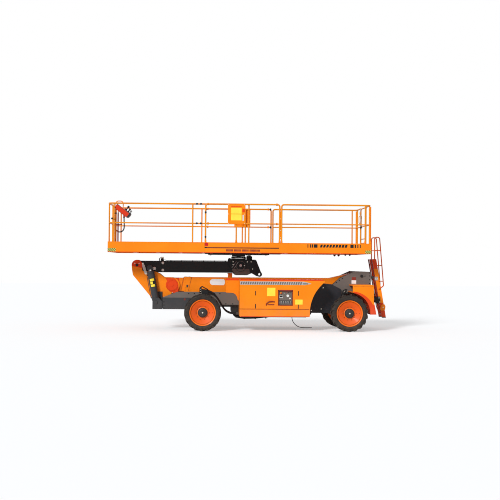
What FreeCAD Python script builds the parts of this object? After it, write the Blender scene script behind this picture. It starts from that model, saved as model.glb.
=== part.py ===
"""Telescopic boom lift with a large slewing work platform.

Millimetres, +Z up. The origin is on the ground below the middle of the machine.
+X points to the ladder end, -Y to the side with the ground controls.
Each named piece is written to parts/NAME.step.
"""
import FreeCAD, Part
import math
import os

V = FreeCAD.Vector

# ---------------------------------------------------------------- driving sizes
FIT = 0.05              # radial play of a pin in its bore
GAP = 5.0               # least room between pieces that move past each other

HALF_LENGTH = 3665.0    # from the origin to either end of the machine

# wheels and axles
TYRE_R = 475.0
TYRE_W = 355.0
LUG_H = 24.0
LUG_COUNT = 18
LUG_LEAN = 24.0
HALF_WIDTH = 1225.0     # over the tyres
BEAD_R = 318.0
FLANGE_R = 338.0
FLANGE_W = 9.0
RIM_W = 290.0
HUB_R = 123.0
SPINDLE_R = 55.0
NOSE_R = 40.0
NOSE_L = 70.0
STEER_X = -1230.0
DRIVE_X = 2560.0
KINGPIN_Y = 770.0
KINGPIN_R = 28.0

# chassis
FRAME_Y = 455.0         # outer face of the side plates
PLATE_T = 20.0
TAIL_X = -2285.0
TAIL_Z = 528.0
FRAME_END_X = 3220.0
FRAME_TOP = 990.0
SILL_Z = 600.0
BELLY_Z = 330.0
PIVOT = (2970.0, 1438.0)        # riser pivot, X and Z
PIVOT_PIN_R = 40.0

# steering hoses, from a bracket on the frame
HOSE_X = -1250.0
HOSE_Y = (490.0, 525.0, 560.0)      # |Y| on the near side
HOSE_Z = 1030.0

# side hoods and trays
HOOD_Y0 = 490.0
HOOD_Y1 = 1150.0
HOOD_X0 = -282.0
HOOD_TOP = 1345.0
HOOD_WALL = 40.0
HOOD_SHOULDER = 75.0            # radius along the outer top edge
TRAY_Z0 = 377.0
TRAY_Z1 = 578.0
HOOD_HINGE = (482.0, 1333.0)    # |Y| and Z of the line that a hood turns about
HINGE_X = (-150.0, 700.0, 1500.0)
HINGE_POST_W = 40.0
HINGE_ROD_R = 6.0
HINGE_EYE_R = 14.0
HINGE_BARREL_R = 12.0
DRIVE_ARCH_R = 1030.0
WHEEL_ARCH_R = 545.0
PANEL_X = (719.0, 1077.0)       # ground control window
PANEL_Z = (680.0, 1060.0)

# riser
RISER_HALF = 175.0
RISER_Z = (977.0, 1372.0)
RISER_WALL = 12.0
COLLAR_X = (-1735.0, -1548.0)
COLLAR_PROUD = 6.0
TRAVEL = 2900.0                 # telescoping stroke of the riser
TIP = (-2046.0, 1160.0)         # pivot between the riser's inner tube and the gooseneck
TRUNNION_R = 166.0

# gooseneck and upper boom
NECK_Y = (165.0, 205.0)         # faces of the gooseneck's side plates
BOOM_PIVOT = (-2979.0, 1682.0)
BOOM_PIN_R = 45.0
BOOM_HALF = 150.0
BOOM_Z = (1495.0, 1800.0)
HEAD_PIVOT = (-230.0, 1690.0)
CHEEK_Y = (158.0, 188.0)

# lift cylinders
CYL_Y = 330.0
CYL_FOOT = (-2458.0, 710.0)
CYL_EYE = (-2630.0, 1608.0)
BARREL_R = 95.0
ROD_R = 50.0
RISER_CYL_FOOT = (2230.0, 600.0)
RISER_CYL_EYE = (700.0, 880.0)
RISER_BARREL_R = 85.0
RISER_ROD_R = 45.0

# platform
SLEW_X = -281.0
SPIGOT_R = 60.0
DECK_HALF = 1205.0
DECK_Z = (2013.0, 2280.0)       # side strips
FLOOR_TOP = 2143.0
FLOOR_T = 20.0
STRIP_T = 40.0
BEAM_W = 60.0                   # cross beams under the floors
MAIN_BEAMS = 7
SLIDE_BEAMS = 5
DECK_X1 = 3103.0
JOINT_X = -1200.0               # where the sliding deck meets the main deck
TONGUE_X = 150.0                # inner end of the sliding deck's floor
RAIL_R = 20.0
RAIL_TOP = 3265.0
RAIL_MID = 2766.0
BEND = 110.0                    # bend radius of the rails' corners
GATE_Y = 450.0

# ladder
LADDER_Y = 250.0
STRINGER_W = 110.0
LADDER_TOP = (FRAME_END_X + 120.0, 1890.0)
LADDER_FOOT = (HALF_LENGTH - STRINGER_W / 2, 325.0)
RUNGS = 6

# values worked out from the sizes above
WHEEL_Y = HALF_WIDTH - TYRE_W / 2
MAIN_RAIL_Y = DECK_HALF - RAIL_R
SLIDE_RAIL_Y = MAIN_RAIL_Y - 2 * RAIL_R - GAP
SLEW_Z = DECK_Z[0] - 91         # top of the lower slewing ring
DECK_X0 = -HALF_LENGTH
DECK_INSIDE = (STRIP_T - DECK_HALF, DECK_HALF - STRIP_T)    # Y between the side strips
SLIDE_FLOOR_Z = (FLOOR_TOP + GAP + 3, FLOOR_TOP + GAP + 18)
CONSOLE_X = DECK_X0 + 345       # middle of the control box
CONSOLE_Y = -SLIDE_RAIL_Y + 35  # its outer side
CONSOLE_Z = RAIL_TOP - 190
PLATE_Y = FRAME_Y - PLATE_T


# ---------------------------------------------------------------- helpers
def box(x, y, z):
    """A box between the low and high values of each axis."""
    return Part.makeBox(x[1] - x[0], y[1] - y[0], z[1] - z[0], V(x[0], y[0], z[0]))


def bar_y(place, radius, y):
    """A round bar along Y at place (X, Z)."""
    return Part.makeCylinder(radius, y[1] - y[0], V(place[0], y[0], place[1]), V(0, 1, 0))


def bar_z(place, radius, z):
    """A round bar along Z at place (X, Y)."""
    return Part.makeCylinder(radius, z[1] - z[0], V(place[0], place[1], z[0]), V(0, 0, 1))


def bar(start, end, radius):
    """A round bar from one point to another."""
    way = V(*end) - V(*start)
    return Part.makeCylinder(radius, way.Length, V(*start), way)


def mirrored(shape):
    """The same shape on the other side of the machine."""
    return shape.mirror(V(0, 0, 0), V(0, 1, 0))


def both(shape):
    """A shape and its mirror image, as separate solids."""
    return [shape, mirrored(shape)]


def fused(*shapes):
    """One solid from several that touch."""
    return shapes[0].fuse(list(shapes[1:])).removeSplitter()


def path(points, radii):
    """Edges through points, with a tangent arc of the given radius at each inner point."""
    points = [V(*p) for p in points]
    edges = []
    start = points[0]
    for before, corner, after, radius in zip(points, points[1:], points[2:], radii):
        inward, outward = (before - corner).normalize(), (after - corner).normalize()
        half = inward.getAngle(outward) / 2
        if radius <= 0 or half > math.pi / 2 - 1e-4:
            edges.append(Part.LineSegment(start, corner).toShape())
            start = corner
            continue
        cut = radius / math.tan(half)
        first, last = corner + inward * cut, corner + outward * cut
        middle = (inward + outward).normalize()
        centre = corner + middle * (radius / math.sin(half))
        if (first - start).Length > 1e-6:
            edges.append(Part.LineSegment(start, first).toShape())
        edges.append(Part.Arc(first, centre - middle * radius, last).toShape())
        start = last
    edges.append(Part.LineSegment(start, points[-1]).toShape())
    return edges


def plate(outline, y, corners=None):
    """A plate between two Y values, from an (X, Z) outline; corners maps a point to its radius."""
    corners = corners or {}
    count = len(outline)
    ring = [(x, y[0], z) for x, z in outline]
    radii = [corners.get(i, 0.0) for i in range(count)]
    middle = ((ring[0][0] + ring[-1][0]) / 2, y[0], (ring[0][2] + ring[-1][2]) / 2)
    wire = Part.Wire(path([middle] + ring + [middle], radii))
    return Part.Face(wire).extrude(V(0, y[1] - y[0], 0))


def pipe(points, radius, bend):
    """A round tube's outer form along points, with the same bend radius at each corner."""
    bends = bend if isinstance(bend, (list, tuple)) else [bend] * (len(points) - 2)
    wire = Part.Wire(path(points, bends))
    first, second = V(*points[0]), V(*points[1])
    section = Part.Wire(Part.Circle(first, second - first, radius).toShape())
    return wire.makePipeShell([section], True, True)


def turned(section, centre, direction):
    """A solid of revolution about Y from (radius, offset) points; direction is +1 or -1."""
    points = [V(centre[0] + r, centre[1] + direction * u, centre[2]) for r, u in section]
    face = Part.Face(Part.makePolygon(points + points[:1]))
    return face.revolve(V(*centre), V(0, 1, 0), 360)


def save(name, shape):
    """Write a node, given as one shape or as a list of separate solids."""
    if isinstance(shape, list):
        shape = Part.makeCompound(shape)
    shape.exportStep(os.path.join("parts", name + ".step"))
    solids = shape.Solids
    print("%-16s %2d solids  valid %s" % (name, len(solids), shape.isValid()))


# ---------------------------------------------------------------- wheels
def wheel_centres():
    """Name, centre and outward direction of each wheel."""
    places = []
    for end, x in (("steer", STEER_X), ("drive", DRIVE_X)):
        for side, way in (("near", -1), ("far", 1)):
            places.append(("%s_%s" % (end, side), (x, way * WHEEL_Y, TYRE_R), way))
    return places


def tyre_at_origin():
    """Carcass with a row of leaning lugs on each half of the tread."""
    half = TYRE_W / 2
    tread = TYRE_R - LUG_H
    seat = RIM_W / 2 - FLANGE_W - 1
    side = [(BEAD_R, seat), (FLANGE_R + 2, seat), (FLANGE_R + 10, half - 20),
            (FLANGE_R + 45, half - 1), (tread - 25, half - 6), (tread, half - 30)]
    section = side + [(r, -u) for r, u in reversed(side)]
    carcass = turned(section, (0, 0, 0), 1)
    envelope = Part.makeCylinder(TYRE_R, TYRE_W, V(0, -half, 0), V(0, 1, 0))
    envelope = envelope.cut(Part.makeCylinder(tread - 40, TYRE_W, V(0, -half, 0), V(0, 1, 0)))
    length, width = half + 4, 62.0
    lugs = []
    for row in (-1, 1):
        for i in range(LUG_COUNT):
            lug = Part.makeBox(width, length, 75, V(-width / 2, 0, TYRE_R - 70))
            lug.rotate(V(0, 0, 0), V(0, 0, 1), LUG_LEAN)
            if row < 0:
                lug = lug.mirror(V(0, 0, 0), V(0, 1, 0))
            lug.rotate(V(0, 0, 0), V(0, 1, 0), 360.0 / LUG_COUNT * (i + 0.25 * row))
            lugs.append(lug.common(envelope))
    return fused(carcass, *lugs)


def rim_at_origin():
    """Dished rim with its planetary hub, outward side towards +Y, bored for the spindle's nose."""
    half = RIM_W / 2
    section = [(0, 128), (78, 128), (96, 118), (HUB_R, 92), (HUB_R, 60), (150, 52), (205, 62),
               (262, 30), (292, 96), (BEAD_R - 4, half - 8), (FLANGE_R, half), (FLANGE_R, half - FLANGE_W),
               (BEAD_R, half - FLANGE_W), (BEAD_R, FLANGE_W - half), (FLANGE_R, FLANGE_W - half),
               (FLANGE_R, -half), (BEAD_R - 12, -half), (296, -60), (258, 8), (200, 36), (140, 28),
               (112, 10), (112, -60), (0, -60)]
    solid = turned(section, (0, 0, 0), 1)
    bore = bar_y((0, 0), NOSE_R + FIT, (-61, -60 + NOSE_L + GAP))
    return solid.cut(bore)


def make_wheels():
    """Four tyres and four rims."""
    tyre, rim = tyre_at_origin(), rim_at_origin()
    for name, centre, way in wheel_centres():
        for part, shape in (("tyre", tyre), ("rim", rim)):
            piece = shape.copy()
            if way < 0:
                piece.rotate(V(0, 0, 0), V(0, 0, 1), 180)
            piece.translate(V(*centre))
            save("%s_%s" % (part, name), piece)


def spindle(x, way, inner):
    """A stub from inner |Y| to the hub, ending in the nose that the rim turns on."""
    shoulder = WHEEL_Y - 60 - GAP
    stub = bar((x, way * inner, TYRE_R), (x, way * shoulder, TYRE_R), SPINDLE_R)
    nose = bar((x, way * shoulder, TYRE_R), (x, way * (shoulder + NOSE_L), TYRE_R), NOSE_R)
    return fused(stub, nose)


def make_axles():
    """Steering axle with its knuckles, and the drive axle."""
    lug_z = ((TYRE_R - 140, TYRE_R - 100), (TYRE_R + 100, TYRE_R + 140))
    beam = box((STEER_X - 65, STEER_X + 65), (-620, 620), (418, TAIL_Z))
    parts = [beam]
    for way in (-1, 1):
        web = box((STEER_X - 60, STEER_X + 60), sorted((way * 600, way * 680)),
                  (lug_z[0][0], lug_z[1][1]))
        parts.append(web)
        for z in lug_z:
            ear = box((STEER_X - 55, STEER_X + 55), sorted((way * 670, way * KINGPIN_Y)), z)
            ear = ear.fuse(bar_z((STEER_X, way * KINGPIN_Y), 55, z))
            parts.append(ear.cut(bar_z((STEER_X, way * KINGPIN_Y), KINGPIN_R + FIT, z)))
    cylinder = bar((STEER_X + 105, -330, 470), (STEER_X + 105, 330, 470), 42)
    clamps = [box((STEER_X + 60, STEER_X + 110), (y - 20, y + 20), (430, 510)) for y in (-250, 250)]
    save("steer_axle", fused(*(parts + [cylinder] + clamps)))
    for side, way in (("near", -1), ("far", 1)):
        y = way * KINGPIN_Y
        body = bar_z((STEER_X, y), 62, (lug_z[0][1] + GAP, lug_z[1][0] - GAP))
        pin = bar_z((STEER_X, y), KINGPIN_R, (lug_z[0][0], lug_z[1][1]))
        arm = box((STEER_X, STEER_X + 150), sorted((y - way * 40, y)), (TYRE_R - 75, TYRE_R - 50))
        save("knuckle_" + side, fused(body, pin, arm, spindle(STEER_X, way, KINGPIN_Y)))
    beam = box((DRIVE_X - 75, DRIVE_X + 75), (-700, 700), (375, SILL_Z - 120))
    bowl = Part.makeSphere(165, V(DRIVE_X, 0, 455))
    ends = [bar_y((DRIVE_X, TYRE_R), 118, sorted((way * 660, way * 880))) for way in (-1, 1)]
    stubs = [spindle(DRIVE_X, way, 870) for way in (-1, 1)]
    save("drive_axle", fused(beam, bowl, *(ends + stubs)))


# ---------------------------------------------------------------- chassis
def hinge_posts():
    """Posts on the frame's sides and the rods that the hoods turn on."""
    posts = []
    y, z = HOOD_HINGE
    for way in (-1, 1):
        posts.append(bar((HINGE_X[0] - 60, way * y, z), (HINGE_X[-1] + 60, way * y, z), HINGE_ROD_R))
        for x in HINGE_X:
            span = (x - HINGE_POST_W / 2, x + HINGE_POST_W / 2)
            posts.append(box(span, sorted((way * (FRAME_Y - 1), way * (FRAME_Y + 18))), (800, z)))
            posts.append(bar((span[0], way * y, z), (span[1], way * y, z), HINGE_EYE_R))
    return posts


def make_frame():
    """Side plates with the riser's ears, cross members, pivot pin and ladder arms."""
    outline = [(TAIL_X, TAIL_Z), (TAIL_X, 841), (-1895, FRAME_TOP), (-310, FRAME_TOP), (-310, 860),
               (1700, 860), (2177, 1195), (2388, 1382), (2785, 1562), (FRAME_END_X, 1550),
               (FRAME_END_X, 480), (2150, 480), (2050, SILL_Z), (-830, SILL_Z), (-930, TAIL_Z)]
    side = plate(outline, (PLATE_Y, FRAME_Y), {3: 125.0})
    inner = (-PLATE_Y, PLATE_Y)
    cross = [box((TAIL_X, TAIL_X + PLATE_T), inner, (TAIL_Z, 790)),
             box((TAIL_X, -930), inner, (TAIL_Z, TAIL_Z + 12)),
             box((-1000, -980), inner, (TAIL_Z, 830)),
             box((100, 240), inner, (SILL_Z, 730)),
             box((2320, 2340), inner, (480, 800)),
             box((FRAME_END_X - PLATE_T, FRAME_END_X), inner, (480, 1230)),
             box((2760, FRAME_END_X), inner, (480, 500))]
    foot_x, foot_z = RISER_CYL_FOOT
    for way in (-1, 1):
        lug = plate([(2325, 500), (2325, 720), (foot_x, foot_z + 80), (foot_x - 75, foot_z),
                     (foot_x, foot_z - 80)], sorted((way * 90, way * 116)), {3: 40.0})
        cross.append(lug)
    cross.append(bar_y(RISER_CYL_FOOT, 35, (-128, 128)))
    pin = bar_y(PIVOT, PIVOT_PIN_R, (-FRAME_Y - 25, FRAME_Y + 25))
    arms = []
    for way in (-1, 1):
        y = sorted((way * (LADDER_Y - 62), way * (LADDER_Y - 22)))
        arms.append(box((FRAME_END_X - 1, ladder_x(1400) - 20), y, (1370, 1430)))
        arms.append(box((FRAME_END_X - 1, ladder_x(820) - 20), y, (780, 850)))
        arms.append(box((FRAME_END_X - PLATE_T, FRAME_END_X), y, (1200, 1450)))
    bracket = box((-1310, HOSE_X), (-HOSE_Y[-1] - 20, -FRAME_Y + 1), (940, HOSE_Z + 45))
    save("chassis_frame", fused(side, mirrored(side), pin, bracket, *(cross + arms + hinge_posts())))


def make_belly():
    """Black pan below the frame between the axles."""
    pan = plate([(-480, 470), (-300, BELLY_Z + 20), (-180, BELLY_Z), (1500, BELLY_Z), (1640, 420),
                 (1640, SILL_Z), (-480, SILL_Z)], (-PLATE_Y, PLATE_Y))
    inside = plate([(-440, 490), (-170, BELLY_Z + 20), (1490, BELLY_Z + 20), (1610, 430),
                    (1610, SILL_Z + 1), (-440, SILL_Z + 1)], (-PLATE_Y + 15, PLATE_Y - 15))
    save("belly_pan", pan.cut(inside))


def hood_outline(inset, bottom):
    """Side view of a hood: straight left end, arched right end about the drive wheel."""
    top = HOOD_TOP - inset
    reach = DRIVE_ARCH_R + inset
    low_x = DRIVE_X - math.sqrt(reach ** 2 - (bottom - TYRE_R) ** 2)
    edge_z = top - 60
    edge_x = DRIVE_X - math.sqrt(reach ** 2 - (edge_z - TYRE_R) ** 2)
    turn = math.pi - math.asin(((bottom + edge_z) / 2 - TYRE_R) / reach)
    middle = V(DRIVE_X + reach * math.cos(turn), 0, TYRE_R + reach * math.sin(turn))
    left = HOOD_X0 + inset
    points = [V(low_x, 0, bottom), V(left, 0, bottom), V(left, 0, top - 40), V(left + 40, 0, top),
              V(edge_x - 60, 0, top), V(edge_x, 0, edge_z)]
    edges = [Part.LineSegment(a, b).toShape() for a, b in zip(points, points[1:])]
    edges.append(Part.Arc(points[-1], middle, points[0]).toShape())
    return Part.Face(Part.Wire(edges))


def hood_section(inset, bottom, front):
    """End view of a hood, extruded over its length: upright side with a rounded shoulder."""
    outer, top = HOOD_Y1 - inset, HOOD_TOP - inset
    inner = HOOD_Y0 - inset
    edges = path([(front, -inner - 50, bottom), (front, -outer, bottom), (front, -outer, top),
                  (front, -inner, top), (front, -inner, bottom), (front, -inner - 50, bottom)],
                 [0, HOOD_SHOULDER - inset, 0, 0])
    return Part.Face(Part.Wire(edges)).extrude(V(3000, 0, 0))


def hood(window):
    """Near-side hood, open below and towards the frame, with a window if asked for."""
    def form(inset, bottom):
        side = hood_outline(inset, bottom)
        side.translate(V(0, -HOOD_Y1 - 10, 0))
        side = side.extrude(V(0, HOOD_Y1, 0))
        return side.common(hood_section(inset, bottom, HOOD_X0 - 100))
    bottom = TRAY_Z1 + GAP
    cover = form(0.0, bottom).cut(form(HOOD_WALL, bottom - 1))
    if window:
        cover = cover.cut(box(PANEL_X, (-HOOD_Y1 - 1, -HOOD_Y1 + HOOD_WALL + 1), PANEL_Z))
    for x in (129.0, 1231.0):
        for z in (650.0, 985.0):
            slot = box((x - 11, x + 11), (-HOOD_Y1 - 1, -HOOD_Y1 + 14), (z - 60, z + 60))
            cover = cover.cut(slot)
    return with_hinge(cover)


def with_hinge(cover):
    """The near hood with hinge barrels along its top, and notches at the hinge posts."""
    y, z = -HOOD_HINGE[0], HOOD_HINGE[1]
    barrels = []
    for x in HINGE_X:
        reach = HINGE_POST_W / 2 + GAP
        notch = box((x - reach, x + reach), (y - HINGE_EYE_R - GAP, y + 50), (z - 60, z + 60))
        cover = cover.cut(notch)
        barrels += [bar((x + way * reach, y, z), (x + way * (reach + 60), y, z), HINGE_BARREL_R)
                    for way in (-1, 1)]
    rod = bar((HINGE_X[0] - 200, y, z), (HINGE_X[-1] + 200, y, z), HINGE_ROD_R + FIT)
    return cover.fuse(barrels).cut(rod).removeSplitter()


def make_hoods():
    """Hoods, the trays below them, what stands on the trays, and the ground controls."""
    save("hood_near", hood(True))
    save("hood_far", mirrored(hood(False)))
    tray_end = DRIVE_X - math.sqrt(DRIVE_ARCH_R ** 2 - (TRAY_Z1 - TYRE_R) ** 2) - 2
    tray = plate([(HOOD_X0, TRAY_Z0), (HOOD_X0, TRAY_Z1), (tray_end, TRAY_Z1), (tray_end, TRAY_Z0)],
                 (-HOOD_Y1, -FRAME_Y), {0: 25.0, 3: 25.0})
    save("side_trays", both(tray))
    engine = box((150, 1150), (-1050, -600), (TRAY_Z1, 1180)).mirror(V(0, 0, 0), V(0, 1, 0))
    tank = box((-150, 560), (-1050, -600), (TRAY_Z1, 1120))
    save("engine_and_tank", [engine, tank])
    deep = -HOOD_Y1 + HOOD_WALL + GAP
    panel = box((PANEL_X[0] - 30, PANEL_X[1] + 30), (deep, deep + 140), (PANEL_Z[0] - 30, PANEL_Z[1] + 30))
    stand = box((PANEL_X[0] + 40, PANEL_X[1] - 40), (deep + 40, deep + 100), (TRAY_Z1, PANEL_Z[0]))
    save("ground_controls", fused(panel, stand))


def make_end_pieces():
    """Inner fenders before the drive wheels and the hollow covers behind them."""
    fender = plate([(1536, 454), (1536, 1080), (1800, 1250), (2170, 1215), (2430, 1080), (2430, 454)],
                   (-FRAME_Y - 30, -FRAME_Y), {1: 90.0, 4: 60.0})
    save("inner_fenders", both(fender))
    left, right, waist, tail, low, high = 2642.0, 3190.0, 800.0, 3257.0, 449.0, 1215.0
    left_z = TYRE_R + math.sqrt(WHEEL_ARCH_R ** 2 - (left - DRIVE_X) ** 2)
    low_x = DRIVE_X + math.sqrt(WHEEL_ARCH_R ** 2 - (low - TYRE_R) ** 2)
    a, b = V(left, 0, left_z), V(low_x, 0, low)
    turn = math.radians(45)
    middle = V(DRIVE_X + WHEEL_ARCH_R * math.cos(turn), 0, TYRE_R + WHEEL_ARCH_R * math.sin(turn))
    corners = [b, V(tail, 0, low), V(right, 0, waist), V(right, 0, high - 30), V(right - 30, 0, high),
               V(left, 0, high), a]
    edges = [Part.LineSegment(p, q).toShape() for p, q in zip(corners, corners[1:])]
    edges.append(Part.Arc(a, middle, b).toShape())
    face = Part.Face(Part.Wire(edges))
    face.translate(V(0, -HOOD_Y1, 0))
    skin = 30.0
    inside_y = (skin - HOOD_Y1, 1 - FRAME_Y)
    room = box((left - 1, right - skin), inside_y, (low - 1, high - skin))
    arch = bar_y((DRIVE_X, TYRE_R), WHEEL_ARCH_R + skin, inside_y)
    save("end_covers", both(face.extrude(V(0, HOOD_Y1 - FRAME_Y, 0)).cut(room.cut(arch))))


# ---------------------------------------------------------------- ladder
def ladder_x(z):
    """X of the ladder's centre line at height z."""
    share = (LADDER_TOP[1] - z) / (LADDER_TOP[1] - LADDER_FOOT[1])
    return LADDER_TOP[0] + share * (LADDER_FOOT[0] - LADDER_TOP[0])


def make_ladder():
    """Two leaning stringers with round rungs, and the two handrail hoops."""
    half = STRINGER_W / 2
    foot_x = LADDER_FOOT[0]
    outline = [(LADDER_TOP[0] - half, LADDER_TOP[1]), (LADDER_TOP[0] + half, LADDER_TOP[1]),
               (foot_x + half, LADDER_FOOT[1]), (foot_x - half, LADDER_FOOT[1])]
    stringer = plate(outline, (-LADDER_Y, -LADDER_Y + 22), {0: 15.0, 1: 15.0})
    inner = LADDER_Y - 22
    top, foot = LADDER_TOP[1] - 130, LADDER_FOOT[1] + 90
    rungs = []
    for i in range(RUNGS):
        z = foot + (top - foot) * i / (RUNGS - 1)
        x = ladder_x(z)
        rungs.append(box((x - 35, x + 35), (-inner - 2, inner + 2), (z - 15, z + 15)))
    save("ladder", fused(stringer, mirrored(stringer), *rungs))
    tube_r, crest, low = 14, 2474.0, 1180.0
    y = -LADDER_Y - tube_r
    inner_x, outer_x = LADDER_TOP[0] + 7, LADDER_TOP[0] + 138
    low_x = ladder_x(low) + 130
    hoop = pipe([(inner_x, y, 1780), (inner_x, y, crest), (outer_x, y, crest),
                 (low_x, y, low), (ladder_x(low - 100) - 10, y, low - 100)], tube_r, [55, 55, 45])

    def outer_at(z):
        return outer_x + (low_x - outer_x) * (crest - z) / (crest - low)
    bars = [bar((inner_x, y, 2120), (outer_at(2120), y, 2120), 11)]
    for z in (1720, 1300):
        bars.append(bar((ladder_x(z) + 20, y, z), (outer_at(z), y, z), 11))
    save("handrails", both(fused(hoop, *bars)))


# ---------------------------------------------------------------- riser
def make_riser():
    """Outer tube with collar, pivot end, cylinder lugs and boom rest; and the inner tube."""
    z0, z1 = RISER_Z
    boss_r = 115.0
    outline = [(COLLAR_X[0], z0), (COLLAR_X[0], z1), (2150, z1), (PIVOT[0] - 28, PIVOT[1] + boss_r - 4),
               (PIVOT[0], PIVOT[1]), (PIVOT[0] + 28, PIVOT[1] - boss_r + 4), (2300, z0)]
    body = plate(outline, (-RISER_HALF, RISER_HALF))
    grow = COLLAR_PROUD
    collar = box(COLLAR_X, (-RISER_HALF - grow, RISER_HALF + grow), (z0 - grow, z1 + grow))
    boss = bar_y(PIVOT, boss_r, (-PLATE_Y + 8, PLATE_Y - 8))
    wall = RISER_WALL
    hollow = box((COLLAR_X[0] - 1, 2150), (wall - RISER_HALF, RISER_HALF - wall), (z0 + wall, z1 - wall))
    eye_x, eye_z = RISER_CYL_EYE
    lugs = []
    for way in (-1, 1):
        lugs.append(plate([(eye_x - 110, z0), (eye_x + 110, z0), (eye_x + 60, eye_z - 55),
                           (eye_x - 60, eye_z - 55)], sorted((way * 56, way * 80)), {2: 40.0, 3: 40.0}))
        lugs.append(bar_y(RISER_CYL_EYE, 32, sorted((way * 56, way * 96))))
    rest = box((-560, -450), (-105, 105), (z1 - 1, BOOM_Z[0] - 25))
    pad = box((-575, -440), (-110, 110), (BOOM_Z[0] - 25, BOOM_Z[0] - GAP - 2))
    shell = body.fuse([collar, boss] + lugs + [rest, pad]).cut(hollow)
    save("riser_tube", shell.cut(bar_y(PIVOT, PIVOT_PIN_R + FIT, (-600, 600))).removeSplitter())
    gap = wall + GAP + 1
    half = RISER_HALF - gap
    low, high = z0 + gap, z1 - gap
    tube = box((TIP[0], COLLAR_X[0] + TRAVEL + 900), (-half, half), (low, high))
    knuckle = bar_y((TIP[0], (low + high) / 2), (high - low) / 2, (-half, half))
    trunnion = bar_y(TIP, TRUNNION_R, (-NECK_Y[1] - 3, NECK_Y[1] + 3))
    bore = box((-1700, COLLAR_X[0] + TRAVEL + 901), (12 - half, half - 12), (low + 12, high - 12))
    save("riser_inner", fused(tube, knuckle, trunnion).cut(bore))


# ---------------------------------------------------------------- gooseneck and upper boom
def make_gooseneck():
    """Side plates round the trunnion and the boom pivot, a lower web, and the boom's pin."""
    px, pz = BOOM_PIVOT
    tx, tz = TIP
    outer = TRUNNION_R + 35
    outline = [(px - 140, pz), (px - 128, 1551), (px - 105, 1418), (-2581, 812), (-2291, 841),
               (-2105, 872), (tx, tz - outer), (tx, tz + outer), (-2251, RISER_Z[1] - 8),
               (-2371, 1461), (-2502, 1520), (px + 140, 1520), (px + 140, pz)]
    side = plate(outline, NECK_Y, {4: 120.0, 10: 60.0, 11: 40.0})
    side = side.fuse([bar_y(BOOM_PIVOT, 140, NECK_Y), bar_y(TIP, outer, NECK_Y)])
    side = side.cut(bar_y(TIP, TRUNNION_R + 0.08, (0, 400)))
    web = plate([(px - 120, 1540), (px - 97, 1418), (-2573, 822), (-2340, 846), (-2340, 866),
                 (-2560, 845), (px - 77, 1426), (px - 100, 1540)], (-NECK_Y[0] - 1, NECK_Y[0] + 1))
    pin = bar_y(BOOM_PIVOT, BOOM_PIN_R, (-NECK_Y[1] - 12, NECK_Y[1] + 12))
    save("gooseneck", fused(side, mirrored(side), web, pin))


def make_cylinder_feet():
    """A pair of cheeks on each side of the gooseneck, with the pin of the cylinder's foot."""
    x, z = (-2550.0, -2300.0), (TAIL_Z, 985.0)
    inner = box(x, (-NECK_Y[1] - 20, -NECK_Y[1]), z)
    cheek_y = (-CYL_Y - BARREL_R - GAP - 22, -CYL_Y - BARREL_R - GAP)
    outer_cheek = plate([(x[0], z[0]), (x[0], 770), (x[0] + 70, 830), (x[1] - 90, 830), (x[1], 740),
                         (x[1], z[0])], (cheek_y[0], cheek_y[1]))
    sole = box(x, (cheek_y[0], -NECK_Y[1]), (z[0], z[0] + 25))
    pin = bar_y(CYL_FOOT, 35, (cheek_y[0] - 12, -NECK_Y[1] - 5))
    save("cylinder_feet", both(fused(inner, outer_cheek, sole, pin)))


def make_boom():
    """Upper boom: box beam with rounded ends, and outriggers to the cylinders' eyes."""
    z0, z1 = BOOM_Z
    px, pz = BOOM_PIVOT
    hx, hz = HEAD_PIVOT
    end_r = z1 - pz
    tip_r = z1 - hz
    width = (-BOOM_HALF, BOOM_HALF)
    beam = plate([(px, z1), (hx, z1), (hx, hz - tip_r), (hx - 110, z0), (px + 150, z0),
                  (px - 60, pz - 100)], width)
    ends = [bar_y(BOOM_PIVOT, end_r, width), bar_y(HEAD_PIVOT, tip_r, width)]
    eye_face = CYL_Y - ROD_R - GAP
    outrigger = bar_y(CYL_EYE, 50, (-eye_face, eye_face))
    bracket = plate([(-2365, z1), (-2345, z1 + 67), (-2285, z1 + 67), (-2275, z1)], (-70, 70))
    pins = [bar_y(HEAD_PIVOT, BOOM_PIN_R, (-CHEEK_Y[1] - 14, CHEEK_Y[1] + 14))]
    solid = beam.fuse(ends + [outrigger, bracket] + pins)
    save("boom", solid.cut(bar_y(BOOM_PIVOT, BOOM_PIN_R + FIT, (-200, 200))).removeSplitter())


def cylinder(foot, eye, y, sizes):
    """Barrel and rod between two pins.

    The sizes are the barrel's, rod's and eye's radii, the eye's half width and the room before it.
    """
    barrel_r, rod_r, eye_r, half, room = sizes
    start, end = V(foot[0], y, foot[1]), V(eye[0], y, eye[1])
    way = (end - start).normalize()
    length = (end - start).Length
    gland = length - eye_r - room
    rod_start = 150
    barrel = Part.makeCylinder(barrel_r, gland - eye_r * 0.6, start + way * eye_r * 0.6, way)
    base = bar_y(foot, eye_r, (y - half, y + half))
    bore = Part.makeCylinder(rod_r + FIT, gland, start + way * (rod_start - 8), way)
    barrel = barrel.fuse(base).cut(bore).cut(bar_y(foot, 35 + FIT, (y - 200, y + 200)))
    rod = Part.makeCylinder(rod_r, length - rod_start - 20, start + way * rod_start, way)
    head = bar_y(eye, eye_r, (y - half, y + half))
    return barrel.removeSplitter(), fused(rod, head)


def make_cylinders():
    """The pair that lifts the upper boom and the one below the riser."""
    barrel, rod = cylinder(CYL_FOOT, CYL_EYE, -CYL_Y, (BARREL_R, ROD_R, 78.0, 42.0, 12.0))
    save("boom_barrels", both(barrel))
    save("boom_rods", both(rod))
    sizes = (RISER_BARREL_R, RISER_ROD_R, 62.0, 50.0, 45.0)
    barrel, rod = cylinder(RISER_CYL_FOOT, RISER_CYL_EYE, 0.0, sizes)
    save("riser_barrel", barrel)
    save("riser_rod", rod)


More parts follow.
